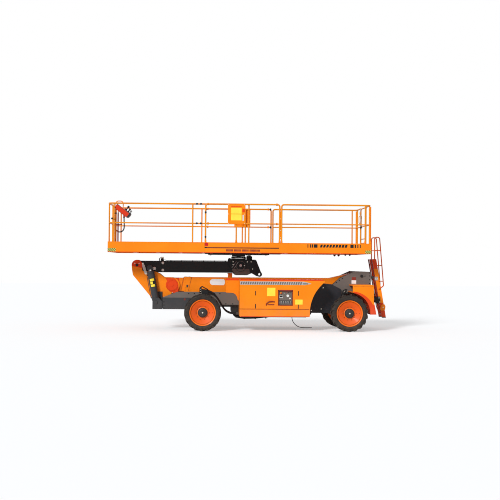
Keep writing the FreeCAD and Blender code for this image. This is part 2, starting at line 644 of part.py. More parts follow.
# ---------------------------------------------------------------- head and slewing
def make_head():
    """Levelled head at the boom's end: cheeks with open eyes, and what stands between them."""
    top = SLEW_Z - 72
    outline = [(-480, top), (-480, 1560), (-385, 1433), (-60, 1433), (70, 1490), (225, 1400),
               (330, 1480), (190, top - 20), (157, top)]
    cheek = plate(outline, CHEEK_Y, {1: 90.0, 2: 90.0, 3: 60.0, 4: 60.0, 5: 40.0, 6: 50.0})
    eye = (278.0, 1460.0)
    cheek = cheek.fuse(bar_y(eye, 66, CHEEK_Y)).cut(bar_y(eye, 34, (0, 300)))
    cheek = cheek.cut(bar_y(HEAD_PIVOT, BOOM_PIN_R + FIT, (0, 300)))
    save("head_cheeks", both(cheek))
    inner = (-CHEEK_Y[0], CHEEK_Y[0])
    roof = box((-480, 157), inner, (top - 25, top))
    web = box((120, 150), inner, (1600, top))
    ring = bar_z((SLEW_X, 0), 195, (top, SLEW_Z))
    spigot = bar_z((SLEW_X, 0), SPIGOT_R, (SLEW_Z - 1, SLEW_Z + 36))
    motor = box((-70, 80), (-75, 75), (top - 1, SLEW_Z + 13))
    cap = bar_z((5, 0), 55, (SLEW_Z + 12, SLEW_Z + 33))
    save("boom_head", fused(roof, web, ring, spigot, motor, cap))


def make_subframe():
    """Upper slewing ring and the frame that carries the decks."""
    ring = bar_z((SLEW_X, 0), 180, (SLEW_Z + GAP, DECK_Z[0] - 37))
    ring = ring.cut(bar_z((SLEW_X, 0), SPIGOT_R + FIT, (SLEW_Z, SLEW_Z + 43)))
    plate_z = (DECK_Z[0] - 38, DECK_Z[0])
    frame = box((-1102, 515), (-520, 520), plate_z)
    for x in ((-1020, -560), (0, 430)):
        for y in ((-440, -60), (60, 440)):
            frame = frame.cut(box(x, y, (plate_z[0] - 1, plate_z[1] + 1)))
    save("subframe", fused(ring, frame))


# ---------------------------------------------------------------- platform
def deck(x, floor_z, beams):
    """Side strips, floor and evenly spaced cross beams of a deck between two X values."""
    parts = [box(x, DECK_INSIDE, floor_z)]
    for way in (-1, 1):
        y = sorted((way * DECK_INSIDE[1], way * DECK_HALF))
        parts.append(box(x, y, DECK_Z))
    for i in range(beams):
        start = x[0] + (x[1] - x[0] - BEAM_W) * i / (beams - 1)
        parts.append(box((start, start + BEAM_W), DECK_INSIDE, (DECK_Z[0], floor_z[0])))
    return parts


def make_main_deck():
    """Main deck: strips, floor and beams, and the end strip with its gap for the gate."""
    parts = deck((JOINT_X, DECK_X1), (FLOOR_TOP - FLOOR_T, FLOOR_TOP), MAIN_BEAMS)
    for way in (-1, 1):
        y = sorted((way * (GATE_Y + 30), way * DECK_INSIDE[1]))
        parts.append(box((DECK_X1 - STRIP_T, DECK_X1), y, (FLOOR_TOP, DECK_Z[1])))
    save("main_deck", fused(*parts))


def make_slide_deck():
    """Sliding deck: strips, floor with a tongue over the main deck, and end strip."""
    x = (DECK_X0, JOINT_X - GAP)
    parts = deck(x, SLIDE_FLOOR_Z, SLIDE_BEAMS)
    tongue_half = DECK_INSIDE[1] - 2 * GAP
    parts.append(box((x[1], TONGUE_X), (-tongue_half, tongue_half), SLIDE_FLOOR_Z))
    parts.append(box((x[0], x[0] + STRIP_T), DECK_INSIDE, (SLIDE_FLOOR_Z[1], DECK_Z[1])))
    save("slide_deck", fused(*parts))


def side_rail(x0, x1, y, foot, bends):
    """Hoop over a stretch of deck side: posts at both ends, top rail between, mid rail."""
    hoop = pipe([(x0, y, foot), (x0, y, RAIL_TOP), (x1, y, RAIL_TOP), (x1, y, foot)], RAIL_R, bends)
    mid = bar((x0, y, RAIL_MID), (x1, y, RAIL_MID), RAIL_R * 0.8)
    return fused(hoop, mid)


def post(x, y, foot):
    """An upright between the deck and the top rail."""
    return bar((x, y, foot), (x, y, RAIL_TOP), RAIL_R * 0.9)


def make_main_rails():
    """Side rails of the main deck, each with its end piece up to the gate."""
    foot = DECK_Z[1]
    end_x = DECK_X1 - 26
    start_x = JOINT_X + 28
    spans = {"near": ((start_x, 731, -384), (783, end_x)),
             "far": ((start_x, 662, -141), (714, end_x))}
    for side, way in (("near", -1), ("far", 1)):
        y = way * MAIN_RAIL_Y
        first, second = spans[side]
        rails = [side_rail(first[0], first[1], y, foot, [60, 60]), post(first[2], y, foot)]
        rail = pipe([(second[0], y, foot), (second[0], y, RAIL_TOP), (second[1], y, RAIL_TOP),
                     (end_x, way * GATE_Y, RAIL_TOP), (end_x, way * GATE_Y, FLOOR_TOP)],
                    RAIL_R, [60, BEND, 60])
        mid = pipe([(second[0], y, RAIL_MID), (second[1], y, RAIL_MID),
                    (end_x, way * GATE_Y, RAIL_MID)], RAIL_R * 0.8, BEND)
        uprights = [post(second[1] - BEND - 20, y, foot)]
        uprights.append(post(end_x, way * (MAIN_RAIL_Y - BEND - 20), foot))
        rails.append(fused(rail, mid, *uprights))
        save("rails_" + side, [fused(rails[0], rails[1]), rails[2]])


def make_slide_rails():
    """Rails of the sliding deck: both sides and the end, running on inside the main rails."""
    end_x = DECK_X0 + STRIP_T / 2
    foot = SLIDE_FLOOR_Z[1]
    inner_x = -60.0
    parts = []
    for side, way in (("near", -1), ("far", 1)):
        y = way * SLIDE_RAIL_Y
        for z, radius in ((RAIL_TOP, RAIL_R), (RAIL_MID, RAIL_R * 0.8)):
            parts.append(pipe([(end_x, 0, z), (end_x, y, z), (inner_x, y, z)], radius, BEND))
        last = -1504.0 if way < 0 else -1274.0
        for x in (end_x + BEND + 20, last, inner_x):
            parts.append(post(x, y, foot))
        parts.append(post(end_x, way * (SLIDE_RAIL_Y - BEND - 20), DECK_Z[1]))
    parts.append(post(end_x, 0, DECK_Z[1]))
    save("slide_rails", fused(*parts))


def make_gate():
    """Swing gate at the ladder end, with hinge barrels and a latch handle."""
    x = DECK_X1 - 26
    half = GATE_Y - RAIL_R - 16 - GAP - 1
    low = FLOOR_TOP + 60
    frame = pipe([(x, 0, low), (x, half, low), (x, half, RAIL_TOP - 10), (x, -half, RAIL_TOP - 10),
                  (x, -half, low), (x, 0, low)], 16, 70)
    mid = bar((x, -half, RAIL_MID), (x, half, RAIL_MID), 13)
    lower = bar((x, -half, 2430), (x, half, 2430), 13)
    handle = pipe([(x, half, 3060), (x - 55, half, 3060), (x - 55, half, 2860), (x, half, 2860)], 9, 30)
    save("gate", fused(frame, mid, lower, handle))


def make_signs():
    """Two boards on the outside of the rails, one on each side."""
    boards = []
    for x, way in ((-377.0, -1), (-141.0, 1)):
        face = way * (MAIN_RAIL_Y + RAIL_R)
        boards.append(box((x - 225, x + 225), sorted((face, face + way * 6)), (2754, 3272)))
    save("signs", boards)


def make_console():
    """Sloping control box with levers, its posts and guard hoop, on the sliding deck."""
    foot = SLIDE_FLOOR_Z[1]
    y0, y1 = CONSOLE_Y, CONSOLE_Y + 305
    x, z = CONSOLE_X, CONSOLE_Z
    length, depth, lean = 395.0, 130.0, 38.0
    body = Part.makeBox(length, y1 - y0, depth, V(-length / 2, y0, -depth / 2))
    levers = []
    for along in (60.0, 130.0):
        stick = Part.makeCylinder(9, 70, V(along, (y0 + y1) / 2, depth / 2 - 2), V(0, 0, 1))
        knob = Part.makeSphere(17, V(along, (y0 + y1) / 2, depth / 2 + 75))
        levers.append(stick.fuse(knob))
    case = fused(body, *levers)
    case.rotate(V(0, 0, 0), V(0, 1, 0), lean)
    case.translate(V(x, 0, z))
    case = fused(case, bar_z((x + 50, y0 + 105), 22, (z - 150, z - 85)))
    save("console", case)
    post_y, hoop_r = y0 + 45, RAIL_R * 0.6
    first, second, crest = x - 158, x - 97, RAIL_TOP + 59
    posts = [bar((first, post_y, foot), (first, post_y, z + 45), 24),
             bar((second, post_y, foot), (second, post_y, z + 8), 13)]
    hoop = pipe([(first, post_y, z + 35), (first, post_y, crest), (x + 30, post_y, crest),
                 (x + 30, post_y, z + 45)], hoop_r, 70)
    gland = box((first - 20, first + 20), (post_y + 10, post_y + 68), (z - 245, z - 195))
    stand = [posts[0].fuse([hoop, gland]).cut(case).removeSplitter(), posts[1].cut(case)]
    save("console_stand", [solid for piece in stand for solid in piece.Solids])


# ---------------------------------------------------------------- free cords and hoses
def cord(name, route, radius):
    """A cord's tube: straight runs joined by arcs as large as the shorter run allows."""
    radii = []
    for before, corner, after in zip(route, route[1:], route[2:]):
        a, b = V(*before) - V(*corner), V(*after) - V(*corner)
        half_turn = (math.pi - a.getAngle(b)) / 2
        radii.append(0.45 * min(a.Length, b.Length) / math.tan(half_turn))
    solid = pipe(route, radius, radii)
    length = Part.Wire(path(route, radii)).Length
    section = math.pi * radius ** 2
    print("%s length %.0f, radii %s, volume check %.4f"
          % (name, length, [round(r) for r in radii], solid.Volume / (section * length)))
    return solid


def make_cords():
    """The console's cable loop, the grounding strap and the steering hoses."""
    loop = [(50, 105, -150), (50, 105, -260), (58, 103, -370), (52, 101, -480), (-12, 99, -544),
            (-102, 96, -544), (-166, 93, -480), (-168, 91, -385), (-158, 89, -305), (-158, 89, -245)]
    loop = [(CONSOLE_X + x, CONSOLE_Y + y, CONSOLE_Z + z) for x, y, z in loop]
    save("console_cable", cord("console_cable", loop, 15))
    strap = [(1200, 400, BELLY_Z), (1200, 400, 255), (1228, 392, 170), (1285, 384, 95), (1365, 378, 40),
             (1460, 380, 13), (1560, 390, 9.5), (1660, 396, 9.5), (1750, 388, 9.5)]
    save("ground_strap", cord("ground_strap", strap, 9))
    hoses = []
    for y in HOSE_Y:
        drop = (HOSE_Y[1] - y) * 0.4
        route = [(HOSE_X, -y, HOSE_Z + drop), (-1130, -y, HOSE_Z + drop), (-970, -y, 975 + drop),
                 (-840, -y, 830 + drop), (-740, -y, 650 + drop), (-610, -y, 480 + drop),
                 (-440, -y, 430 + drop), (HOOD_X0, -y, 430 + drop)]
        hoses.append(cord("hose", route, 15))
    save("steer_hoses", hoses)


def main():
    """Build and write every node."""
    os.makedirs("parts", exist_ok=True)
    make_wheels()
    make_axles()
    make_frame()
    make_belly()
    make_hoods()
    make_end_pieces()
    make_ladder()
    make_riser()
    make_gooseneck()
    make_cylinder_feet()
    make_boom()
    make_cylinders()
    make_head()
    make_subframe()
    make_main_deck()
    make_slide_deck()
    make_main_rails()
    make_slide_rails()
    make_gate()
    make_signs()
    make_console()
    make_cords()


main()
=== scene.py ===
"""Finishes, fittings, cords and studio of a telescopic boom lift with a large slewing platform.

Metres, +Z up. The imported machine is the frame, and every piece here rides on one of its bodies.
"""

import functools
import logging
import math
from dataclasses import dataclass
from enum import Enum
from typing import Any, Callable, Sequence

import bmesh
import bpy
from mathutils import Matrix, Vector


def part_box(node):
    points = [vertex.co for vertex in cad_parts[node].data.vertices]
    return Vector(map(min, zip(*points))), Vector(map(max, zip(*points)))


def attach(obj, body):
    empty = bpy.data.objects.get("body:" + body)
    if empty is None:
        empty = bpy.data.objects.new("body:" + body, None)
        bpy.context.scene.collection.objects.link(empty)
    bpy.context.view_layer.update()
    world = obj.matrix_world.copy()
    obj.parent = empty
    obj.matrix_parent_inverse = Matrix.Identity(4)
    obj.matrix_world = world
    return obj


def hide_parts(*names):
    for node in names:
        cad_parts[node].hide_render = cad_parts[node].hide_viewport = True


log = logging.getLogger("boom_lift")
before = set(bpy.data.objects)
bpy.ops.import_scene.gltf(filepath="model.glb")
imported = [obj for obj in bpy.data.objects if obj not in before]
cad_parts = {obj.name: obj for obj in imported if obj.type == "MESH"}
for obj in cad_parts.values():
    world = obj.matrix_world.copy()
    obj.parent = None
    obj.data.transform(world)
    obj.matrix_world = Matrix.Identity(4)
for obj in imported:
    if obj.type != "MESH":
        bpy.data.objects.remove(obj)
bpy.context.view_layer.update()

Point = Sequence[float]
Place = tuple[Point, Point]         # a point, and the way that a fitting on it faces
Pair = tuple[float, float]
Limits = tuple[float, float, float, float]
Colour = tuple[float, float, float]
Socket = bpy.types.NodeSocket
Sockets = dict[str, Socket]

PROUD = 0.0015                      # how far a plate or decal stands off its panel
UP = (0, 0, 1)


class Side(Enum):
    """A side of the machine: the one with the ground controls, and the other."""

    NEAR = -1
    FAR = 1

    @property
    def way(self) -> Vector:
        """Outwards from the machine on this side."""
        return Vector((0.0, self.value, 0.0))

    @property
    def label(self) -> str:
        """The side's name as used in the names of pieces and bodies."""
        return self.name.lower()

    def at(self, x: float, y: float, z: float) -> Vector:
        """The point at a distance y out on this side."""
        return Vector((x, self.value * y, z))

    def outline(self, y: float, pairs: Sequence[Pair]) -> list[Point]:
        """The points (x, z) in an upright plane at a distance y out on this side."""
        return [(x, self.value * y, z) for x, z in pairs]

    def spots(self, y: float, pairs: Sequence[Pair]) -> list[Place]:
        """The same points, each facing outwards."""
        return [(point, self.way) for point in self.outline(y, pairs)]


# ---------------------------------------- node trees
class Wiring:
    """Adds nodes to one tree and joins them."""

    def __init__(self, tree: bpy.types.NodeTree) -> None:
        """Keep the tree that nodes are added to."""
        self.tree = tree

    def add(self, kind: str, feeds: dict[Any, Any] | None = None, **settings: Any) -> bpy.types.Node:
        """Add a node.

        Args:
            kind: The node's type name.
            feeds: Input name or index to a value, or to the socket that feeds it.
            settings: Properties of the node.

        Returns:
            The new node.
        """
        node = self.tree.nodes.new(kind)
        for name, value in settings.items():
            setattr(node, name, value)
        self.feed_all(node, feeds or {})
        return node

    def feed(self, socket: Socket, value: Any) -> None:
        """Link a socket to an input, or set the input's own value."""
        if isinstance(value, bpy.types.NodeSocket):
            self.tree.links.new(value, socket)
        else:
            socket.default_value = value

    def feed_all(self, node: bpy.types.Node, feeds: dict[Any, Any]) -> None:
        """Feed several inputs of a node, by name or index."""
        for key, value in feeds.items():
            self.feed(node.inputs[key], value)

    def math(self, operation: str, *values: Any, clamp: bool = False) -> Socket:
        """The result of a Math node."""
        feeds = dict(enumerate(values))
        return self.add("ShaderNodeMath", feeds, operation=operation, use_clamp=clamp).outputs[0]

    def times(self, first: Any, second: Any, clamp: bool = False) -> Socket:
        """The product of two values."""
        return self.math("MULTIPLY", first, second, clamp=clamp)

    def ramp(self, value: Socket, low: float, high: float, to_low: float = 0.0, to_high: float = 1.0) -> Socket:
        """A value eased from one range to another."""
        feeds = {0: value, 1: low, 2: high, 3: to_low, 4: to_high}
        return self.add("ShaderNodeMapRange", feeds, interpolation_type="SMOOTHSTEP").outputs[0]

    def mix(self, factor: Any, first: Any, second: Any) -> Socket:
        """Two colours mixed by a factor."""
        node = self.add("ShaderNodeMix", {0: factor}, data_type="RGBA")
        for index, value in ((6, first), (7, second)):
            self.feed(node.inputs[index], value if isinstance(value, bpy.types.NodeSocket) else (*value, 1.0))
        return node.outputs[2]

    def bump(self, height: Socket, strength: float, distance: float, **normal: Socket) -> Socket:
        """A normal bent by a height."""
        feeds = {"Height": height, "Strength": strength, "Distance": distance, **normal}
        return self.add("ShaderNodeBump", feeds).outputs[0]

    def place(self) -> Socket:
        """The surface point in the machine's own frame."""
        return self.add("ShaderNodeTexCoord").outputs["Object"]

    def axes(self, vector: Socket) -> Sequence[Socket]:
        """X, Y and Z of a vector."""
        return self.add("ShaderNodeSeparateXYZ", {0: vector}).outputs

    def noise(self, vector: Socket, scale: Any, detail: float = 3.0, rough: float = 0.55) -> Socket:
        """Fractal noise at a scale in features per metre."""
        feeds = {"Vector": vector, "Scale": scale, "Detail": detail, "Roughness": rough}
        return self.add("ShaderNodeTexNoise", feeds).outputs[0]

    def seen(self) -> Socket:
        """A mask of the rays that reach the eye straight, off gloss or through glass."""
        rays = self.add("ShaderNodeLightPath").outputs
        bent = self.math("MAXIMUM", rays["Is Glossy Ray"], rays["Is Transmission Ray"])
        return self.math("MAXIMUM", rays["Is Camera Ray"], bent)


def fresh_wiring(owner: bpy.types.Material | bpy.types.World) -> Wiring:
    """The emptied node tree of a material or world, ready for nodes."""
    owner.use_nodes = True
    owner.node_tree.nodes.clear()
    return Wiring(owner.node_tree)


def shader_group(name: str, inputs: dict[str, float], outputs: Sequence[str],
        build: Callable[[Wiring, Sockets], Sockets]) -> bpy.types.NodeTree:
    """Make a shader node group.

    Args:
        name: The group's name.
        inputs: Input name to its usual value.
        outputs: The outputs' names. One called Normal is a vector, and the others are values.
        build: Wires the group from its inputs and returns its outputs.

    Returns:
        The group's tree.
    """
    tree = bpy.data.node_groups.new(name, "ShaderNodeTree")
    for label, usual in inputs.items():
        socket = tree.interface.new_socket(label, in_out="INPUT", socket_type="NodeSocketFloat")
        socket.default_value = usual
    for label in outputs:
        kind = "NodeSocketVector" if label == "Normal" else "NodeSocketFloat"
        tree.interface.new_socket(label, in_out="OUTPUT", socket_type=kind)
    wiring = Wiring(tree)
    entry, leave = wiring.add("NodeGroupInput"), wiring.add("NodeGroupOutput")
    wiring.feed_all(leave, build(wiring, {label: entry.outputs[label] for label in inputs}))
    return tree


@functools.cache
def edge_group() -> bpy.types.NodeTree:
    """Softened edges, and a mask of where paint has rubbed off them."""
    def build(wiring: Wiring, given: Sockets) -> Sockets:
        soft = wiring.add("ShaderNodeBevel", {"Radius": given["Radius"]}, samples=4).outputs[0]
        plain = wiring.add("ShaderNodeNewGeometry").outputs["Normal"]
        along = wiring.add("ShaderNodeVectorMath", {0: soft, 1: plain}, operation="DOT_PRODUCT")
        bend = wiring.ramp(wiring.math("SUBTRACT", 1.0, along.outputs["Value"]), 0.02, 0.25)
        patch = wiring.ramp(wiring.noise(wiring.place(), given["Scale"], 4.0), 0.45, 0.62)
        return {"Mask": wiring.times(wiring.times(bend, patch), given["Wear"], clamp=True), "Normal": soft}
    return shader_group("rubbed edges", {"Radius": 0.004, "Scale": 9.0, "Wear": 0.5}, ("Mask", "Normal"), build)


@functools.cache
def grime_group() -> bpy.types.NodeTree:
    """A mask of dust that is thick low down and lies on upward faces."""
    def build(wiring: Wiring, given: Sockets) -> Sockets:
        place = wiring.place()
        fall = {0: wiring.axes(place)[2], 1: 0.05, 2: given["Reach"], 3: 1.0, 4: 0.0}
        low = wiring.add("ShaderNodeMapRange", fall).outputs[0]
        up = wiring.axes(wiring.add("ShaderNodeNewGeometry").outputs["Normal"])[2]
        lying = wiring.times(wiring.ramp(up, 0.5, 0.95), 0.35)
        cloud = wiring.ramp(wiring.noise(place, given["Scale"], 5.0, 0.6), 0.3, 0.75, 0.25, 1.0)
        total = wiring.times(wiring.math("ADD", low, lying), cloud)
        return {"Mask": wiring.times(total, given["Amount"], clamp=True)}
    return shader_group("grime", {"Reach": 0.9, "Scale": 5.0, "Amount": 0.4}, ("Mask",), build)


@functools.cache
def mottle_group() -> bpy.types.NodeTree:
    """A slow change of tone, as a value about 0.5, and a fine grain as a height."""
    def build(wiring: Wiring, given: Sockets) -> Sockets:
        place = wiring.place()
        return {"Tone": wiring.noise(place, given["Scale"]), "Height": wiring.noise(place, given["Grain"], 2.0)}
    return shader_group("mottle", {"Scale": 2.5, "Grain": 350.0}, ("Tone", "Height"), build)


@functools.cache
def chequer_group() -> bpy.types.NodeTree:
    """Raised lozenges in two crossing directions, as on tread plate."""
    def build(wiring: Wiring, given: Sockets) -> Sockets:
        feeds = {"Vector": wiring.place(), "Rotation": (0.0, 0.0, math.pi / 4)}
        turned = wiring.add("ShaderNodeMapping", feeds)
        parts = wiring.axes(turned.outputs[0])
        cells = [wiring.math("DIVIDE", parts[i], given["Pitch"]) for i in range(2)]
        steps = [wiring.math("FLOOR", cell) for cell in cells]
        x, y = [wiring.math("SUBTRACT", wiring.math("FRACT", cell), 0.5) for cell in cells]
        odd = wiring.math("ABSOLUTE", wiring.math("MODULO", wiring.math("ADD", *steps), 2.0))
        even = wiring.math("SUBTRACT", 1.0, odd)
        along = wiring.math("ADD", wiring.times(x, odd), wiring.times(y, even))
        across = wiring.math("ADD", wiring.times(y, odd), wiring.times(x, even))
        far = [wiring.math("POWER", wiring.math("DIVIDE", part, reach), 2.0)
            for part, reach in ((along, 0.46), (across, 0.15))]
        return {"Height": wiring.ramp(wiring.math("ADD", *far), 0.55, 1.0, 1.0, 0.0)}
    return shader_group("chequer plate", {"Pitch": 0.034}, ("Height",), build)


@functools.cache
def hazard_group() -> bpy.types.NodeTree:
    """Slanting stripes, as a mask."""
    def build(wiring: Wiring, given: Sockets) -> Sockets:
        x, y, z = wiring.axes(wiring.place())
        slant = wiring.math("ADD", wiring.math("ADD", x, y), z)
        share = wiring.math("FRACT", wiring.math("DIVIDE", slant, given["Pitch"]))
        return {"Mask": wiring.ramp(share, 0.49, 0.51)}
    return shader_group("hazard stripes", {"Pitch": 0.05}, ("Mask",), build)


# ---------------------------------------- finishes
@dataclass(frozen=True)
class Finish:
    """A surface finish, made into a material once."""

    name: str
    colour: Colour
    slot: str
    roughness: float = 0.45

    def material(self) -> bpy.types.Material:
        """The finish's material, built when it is first asked for."""
        found = bpy.data.materials.get(self.name)
        if found:
            return found
        material = bpy.data.materials.new(self.name)
        wiring = fresh_wiring(material)
        shader = wiring.add("ShaderNodeBsdfPrincipled", {"Roughness": self.roughness})
        wiring.feed_all(shader, self.look(wiring))
        wiring.add("ShaderNodeOutputMaterial", {"Surface": shader.outputs[0]})
        material.diffuse_color = (*self.colour, 1.0)
        return material

    def look(self, wiring: Wiring) -> dict[str, Any]:
        """What the shader's inputs are fed with, by name, wired in the material's tree."""
        raise NotImplementedError

    def group(self, wiring: Wiring, tree: bpy.types.NodeTree, **values: float) -> Sockets:
        """The outputs of a node group placed with this finish's own values."""
        node = wiring.add("ShaderNodeGroup", node_tree=tree)
        wiring.feed_all(node, {label.capitalize(): value for label, value in values.items()})
        return node.outputs

    def toned(self, wiring: Wiring, tone: Socket, spread: float) -> Socket:
        """The finish's colour, a little darker and lighter over the surface."""
        dark, light = ([min(1.0, channel * share) for channel in self.colour]
            for share in (1.0 - spread, 1.0 + spread))
        return wiring.mix(wiring.ramp(tone, 0.3, 0.7), dark, light)

    def matt(self, wiring: Wiring, tone: Socket) -> Socket:
        """The finish's roughness, a little more and less over the surface."""
        return wiring.ramp(tone, 0.2, 0.8, self.roughness - 0.08, self.roughness + 0.08)


@dataclass(frozen=True)
class Paint(Finish):
    """Sprayed enamel with orange peel, rubbed edges and dust."""

    bare: Colour = (0.09, 0.075, 0.065)
    dust: Colour = (0.36, 0.31, 0.26)
    wear: float = 0.35
    grime: float = 0.22
    reach: float = 0.9
    coat: float = 0.03
    specular: float = 0.16
    edge: float = 0.004

    def look(self, wiring: Wiring) -> dict[str, Any]:
        """Paint, bare edges and dust."""
        mottle = self.group(wiring, mottle_group(), scale=1.7, grain=420.0)
        edges = self.group(wiring, edge_group(), radius=self.edge, scale=11.0, wear=self.wear)
        dust = self.group(wiring, grime_group(), reach=self.reach, scale=4.0, amount=self.grime)["Mask"]
        colour = wiring.mix(edges["Mask"], self.toned(wiring, mottle["Tone"], 0.06), self.bare)
        rough = wiring.ramp(mottle["Tone"], 0.25, 0.75, self.roughness - 0.05, self.roughness + 0.07)
        return {"Base Color": wiring.mix(dust, colour, self.dust),
            "Roughness": wiring.math("ADD", rough, wiring.times(dust, 0.4), clamp=True),
            "Specular IOR Level": self.specular, "Coat Weight": self.coat, "Coat Roughness": 0.12,
            "Normal": wiring.bump(mottle["Height"], 0.12, 0.0006, Normal=edges["Normal"])}


@dataclass(frozen=True)
class ZonedPaint(Paint):
    """Enamel in two colours that meet along flat cuts through the machine; on most pieces one of the colours is
    painted shade.
    """

    second: Colour = (0.0, 0.0, 0.0)
    cuts: tuple[Limits, ...] = ()

    def toned(self, wiring: Wiring, tone: Socket, spread: float) -> Socket:
        """The first colour, and the second where the point lies beyond every cut."""
        parts = wiring.axes(wiring.place())
        inside: Any = 1.0
        for *weights, reach in self.cuts:
            x, y, z = (wiring.times(part, weight) for part, weight in zip(parts, weights))
            level = wiring.math("ADD", wiring.math("ADD", x, y), z)
            inside = wiring.times(inside, wiring.ramp(level, reach - 0.002, reach + 0.002))
        return wiring.mix(inside, super().toned(wiring, tone, spread), self.second)


@dataclass(frozen=True)
class Rubber(Finish):
    """Moulded rubber, dusty low down and where it meets the ground."""

    dust: Colour = (0.17, 0.135, 0.1)
    grime: float = 0.5
    grain: float = 160.0

    def look(self, wiring: Wiring) -> dict[str, Any]:
        """Rubber and dried mud."""
        mottle = self.group(wiring, mottle_group(), scale=6.0, grain=self.grain)
        edges = self.group(wiring, edge_group(), radius=0.006, scale=14.0, wear=0.5)
        dust = self.group(wiring, grime_group(), reach=1.3, scale=9.0, amount=self.grime)["Mask"]
        colour = wiring.mix(edges["Mask"], self.toned(wiring, mottle["Tone"], 0.3), self.dust)
        return {"Base Color": wiring.mix(dust, colour, self.dust), "Specular IOR Level": 0.22,
            "Roughness": self.matt(wiring, mottle["Tone"]),
            "Normal": wiring.bump(mottle["Height"], 0.35, 0.002, Normal=edges["Normal"])}


@dataclass(frozen=True)
class Metal(Finish):
    """Bare or plated steel with fine scratches."""

    tarnish: Colour = (0.25, 0.23, 0.21)
    stain: float = 0.3

    def look(self, wiring: Wiring) -> dict[str, Any]:
        """Bright metal, its stains and scratches."""
        place = wiring.place()
        drawn = wiring.add("ShaderNodeMapping", {"Vector": place, "Scale": (40.0, 40.0, 900.0)}).outputs[0]
        scratch = wiring.noise(drawn, 1.0, 2.0)
        stain = wiring.ramp(wiring.noise(place, 8.0, 4.0), 0.5, 0.75, 0.0, self.stain)
        return {"Metallic": 1.0, "Base Color": wiring.mix(stain, self.colour, self.tarnish),
            "Roughness": wiring.ramp(scratch, 0.3, 0.7, self.roughness - 0.06, self.roughness + 0.1),
            "Normal": wiring.bump(scratch, 0.06, 0.0003)}


@dataclass(frozen=True)
class Moulding(Finish):
    """Moulded plastic, a cast or a plain enamelled plate with a fine grain."""

    grain: float = 260.0
    spread: float = 0.12
    bump: float = 0.2

    def look(self, wiring: Wiring) -> dict[str, Any]:
        """The moulded grain and scuffs."""
        mottle = self.group(wiring, mottle_group(), scale=7.0, grain=self.grain)
        return {"Base Color": self.toned(wiring, mottle["Tone"], self.spread), "Specular IOR Level": 0.25,
            "Roughness": self.matt(wiring, mottle["Tone"]),
            "Normal": wiring.bump(mottle["Height"], self.bump, 0.0008)}


@dataclass(frozen=True)
class TreadPlate(Finish):
    """Chequer plate whose lozenges are rubbed bright."""

    rubbed: Colour = (0.42, 0.4, 0.38)

    def look(self, wiring: Wiring) -> dict[str, Any]:
        """The lozenges, their bright tops and the dust between them."""
        raised = self.group(wiring, chequer_group(), pitch=0.034)["Height"]
        tone = self.group(wiring, mottle_group(), scale=2.0, grain=300.0)["Tone"]
        trodden = wiring.times(raised, wiring.ramp(tone, 0.35, 0.65, 0.3, 0.9))
        return {"Base Color": wiring.mix(trodden, self.toned(wiring, tone, 0.15), self.rubbed),
            "Roughness": wiring.ramp(trodden, 0.0, 1.0, self.roughness, 0.32),
            "Normal": wiring.bump(raised, 0.7, 0.002)}


@dataclass(frozen=True)
class HazardTape(Finish):
    """Plate with slanting stripes in two colours."""

    second: Colour = (0.02, 0.02, 0.02)

    def look(self, wiring: Wiring) -> dict[str, Any]:
        """The stripes."""
        mask = self.group(wiring, hazard_group(), pitch=0.055)["Mask"]
        tone = self.group(wiring, mottle_group(), scale=9.0, grain=300.0)["Tone"]
        return {"Base Color": wiring.mix(mask, self.toned(wiring, tone, 0.1), self.second)}


ORANGE = Paint("orange enamel", (0.945, 0.245, 0.004), "orange", 0.38)
# On most pieces that use it, red orange stands for orange in shade: painted shade.
RED_ORANGE = Paint("red orange enamel", (0.76, 0.06, 0.006), "red_orange", 0.38)
RIM_RED = Paint("rim enamel", (0.92, 0.165, 0.004), "orange", 0.34, coat=0.1, grime=0.12)
# A darker, redder copy of the rim enamel for the dish: painted shade in the dish.
DISH_SHADED_RED = Paint("rim dish enamel", (0.82, 0.105, 0.004), "orange", 0.46, coat=0.04, grime=0.12)
GREY = Paint("stone grey enamel", (0.145, 0.125, 0.112), "grey", 0.48, grime=0.2)
SLATE = Paint("slate grey enamel", (0.043, 0.045, 0.049), "grey", 0.45, grime=0.18)
BLACK = Paint("black enamel", (0.013, 0.013, 0.014), "black", 0.42, grime=0.1)
IRON = Paint("painted casting", (0.022, 0.022, 0.024), "iron", 0.5, coat=0.0, grime=0.25, edge=0.006)
TYRE = Rubber("tyre rubber", (0.026, 0.022, 0.02), "tyre", 0.82, grime=0.34)
CABLE = Rubber("cable jacket", (0.009, 0.009, 0.01), "rubber", 0.55, grime=0.05, grain=600.0)
STEEL = Metal("polished rod", (0.74, 0.74, 0.73), "steel", 0.18)
ZINC = Metal("zinc plate", (0.62, 0.58, 0.49), "steel", 0.38, stain=0.6)
PLASTIC = Moulding("black moulding", (0.018, 0.018, 0.02), "plastic", 0.5)
YELLOW = Moulding("yellow plate", (0.95, 0.74, 0.06), "orange", 0.5, spread=0.05, bump=0.05)
PALE = Moulding("pale plate", (0.62, 0.62, 0.6), "grey", 0.45, spread=0.06, bump=0.05)
PALE_GREY = Moulding("pale grey plate", (0.44, 0.43, 0.43), "grey", 0.45, spread=0.06, bump=0.05)
WHITE = Moulding("white plate", (0.82, 0.82, 0.81), "grey", 0.4, spread=0.03, bump=0.04)
RED = Moulding("red moulding", (0.55, 0.012, 0.01), "red_orange", 0.35, spread=0.06)
FLOOR_PLATE = TreadPlate("chequer floor", (0.14, 0.135, 0.13), "grey", 0.6)
FENDER = Moulding("fender moulding", (0.016, 0.016, 0.021), "black", 0.48, spread=0.15)
# Dark red is painted shade on the window rim, the ladder's flange and the slide's groove.
BROWN = Moulding("dark red plate", (0.22, 0.028, 0.016), "red_orange", 0.4, spread=0.08)
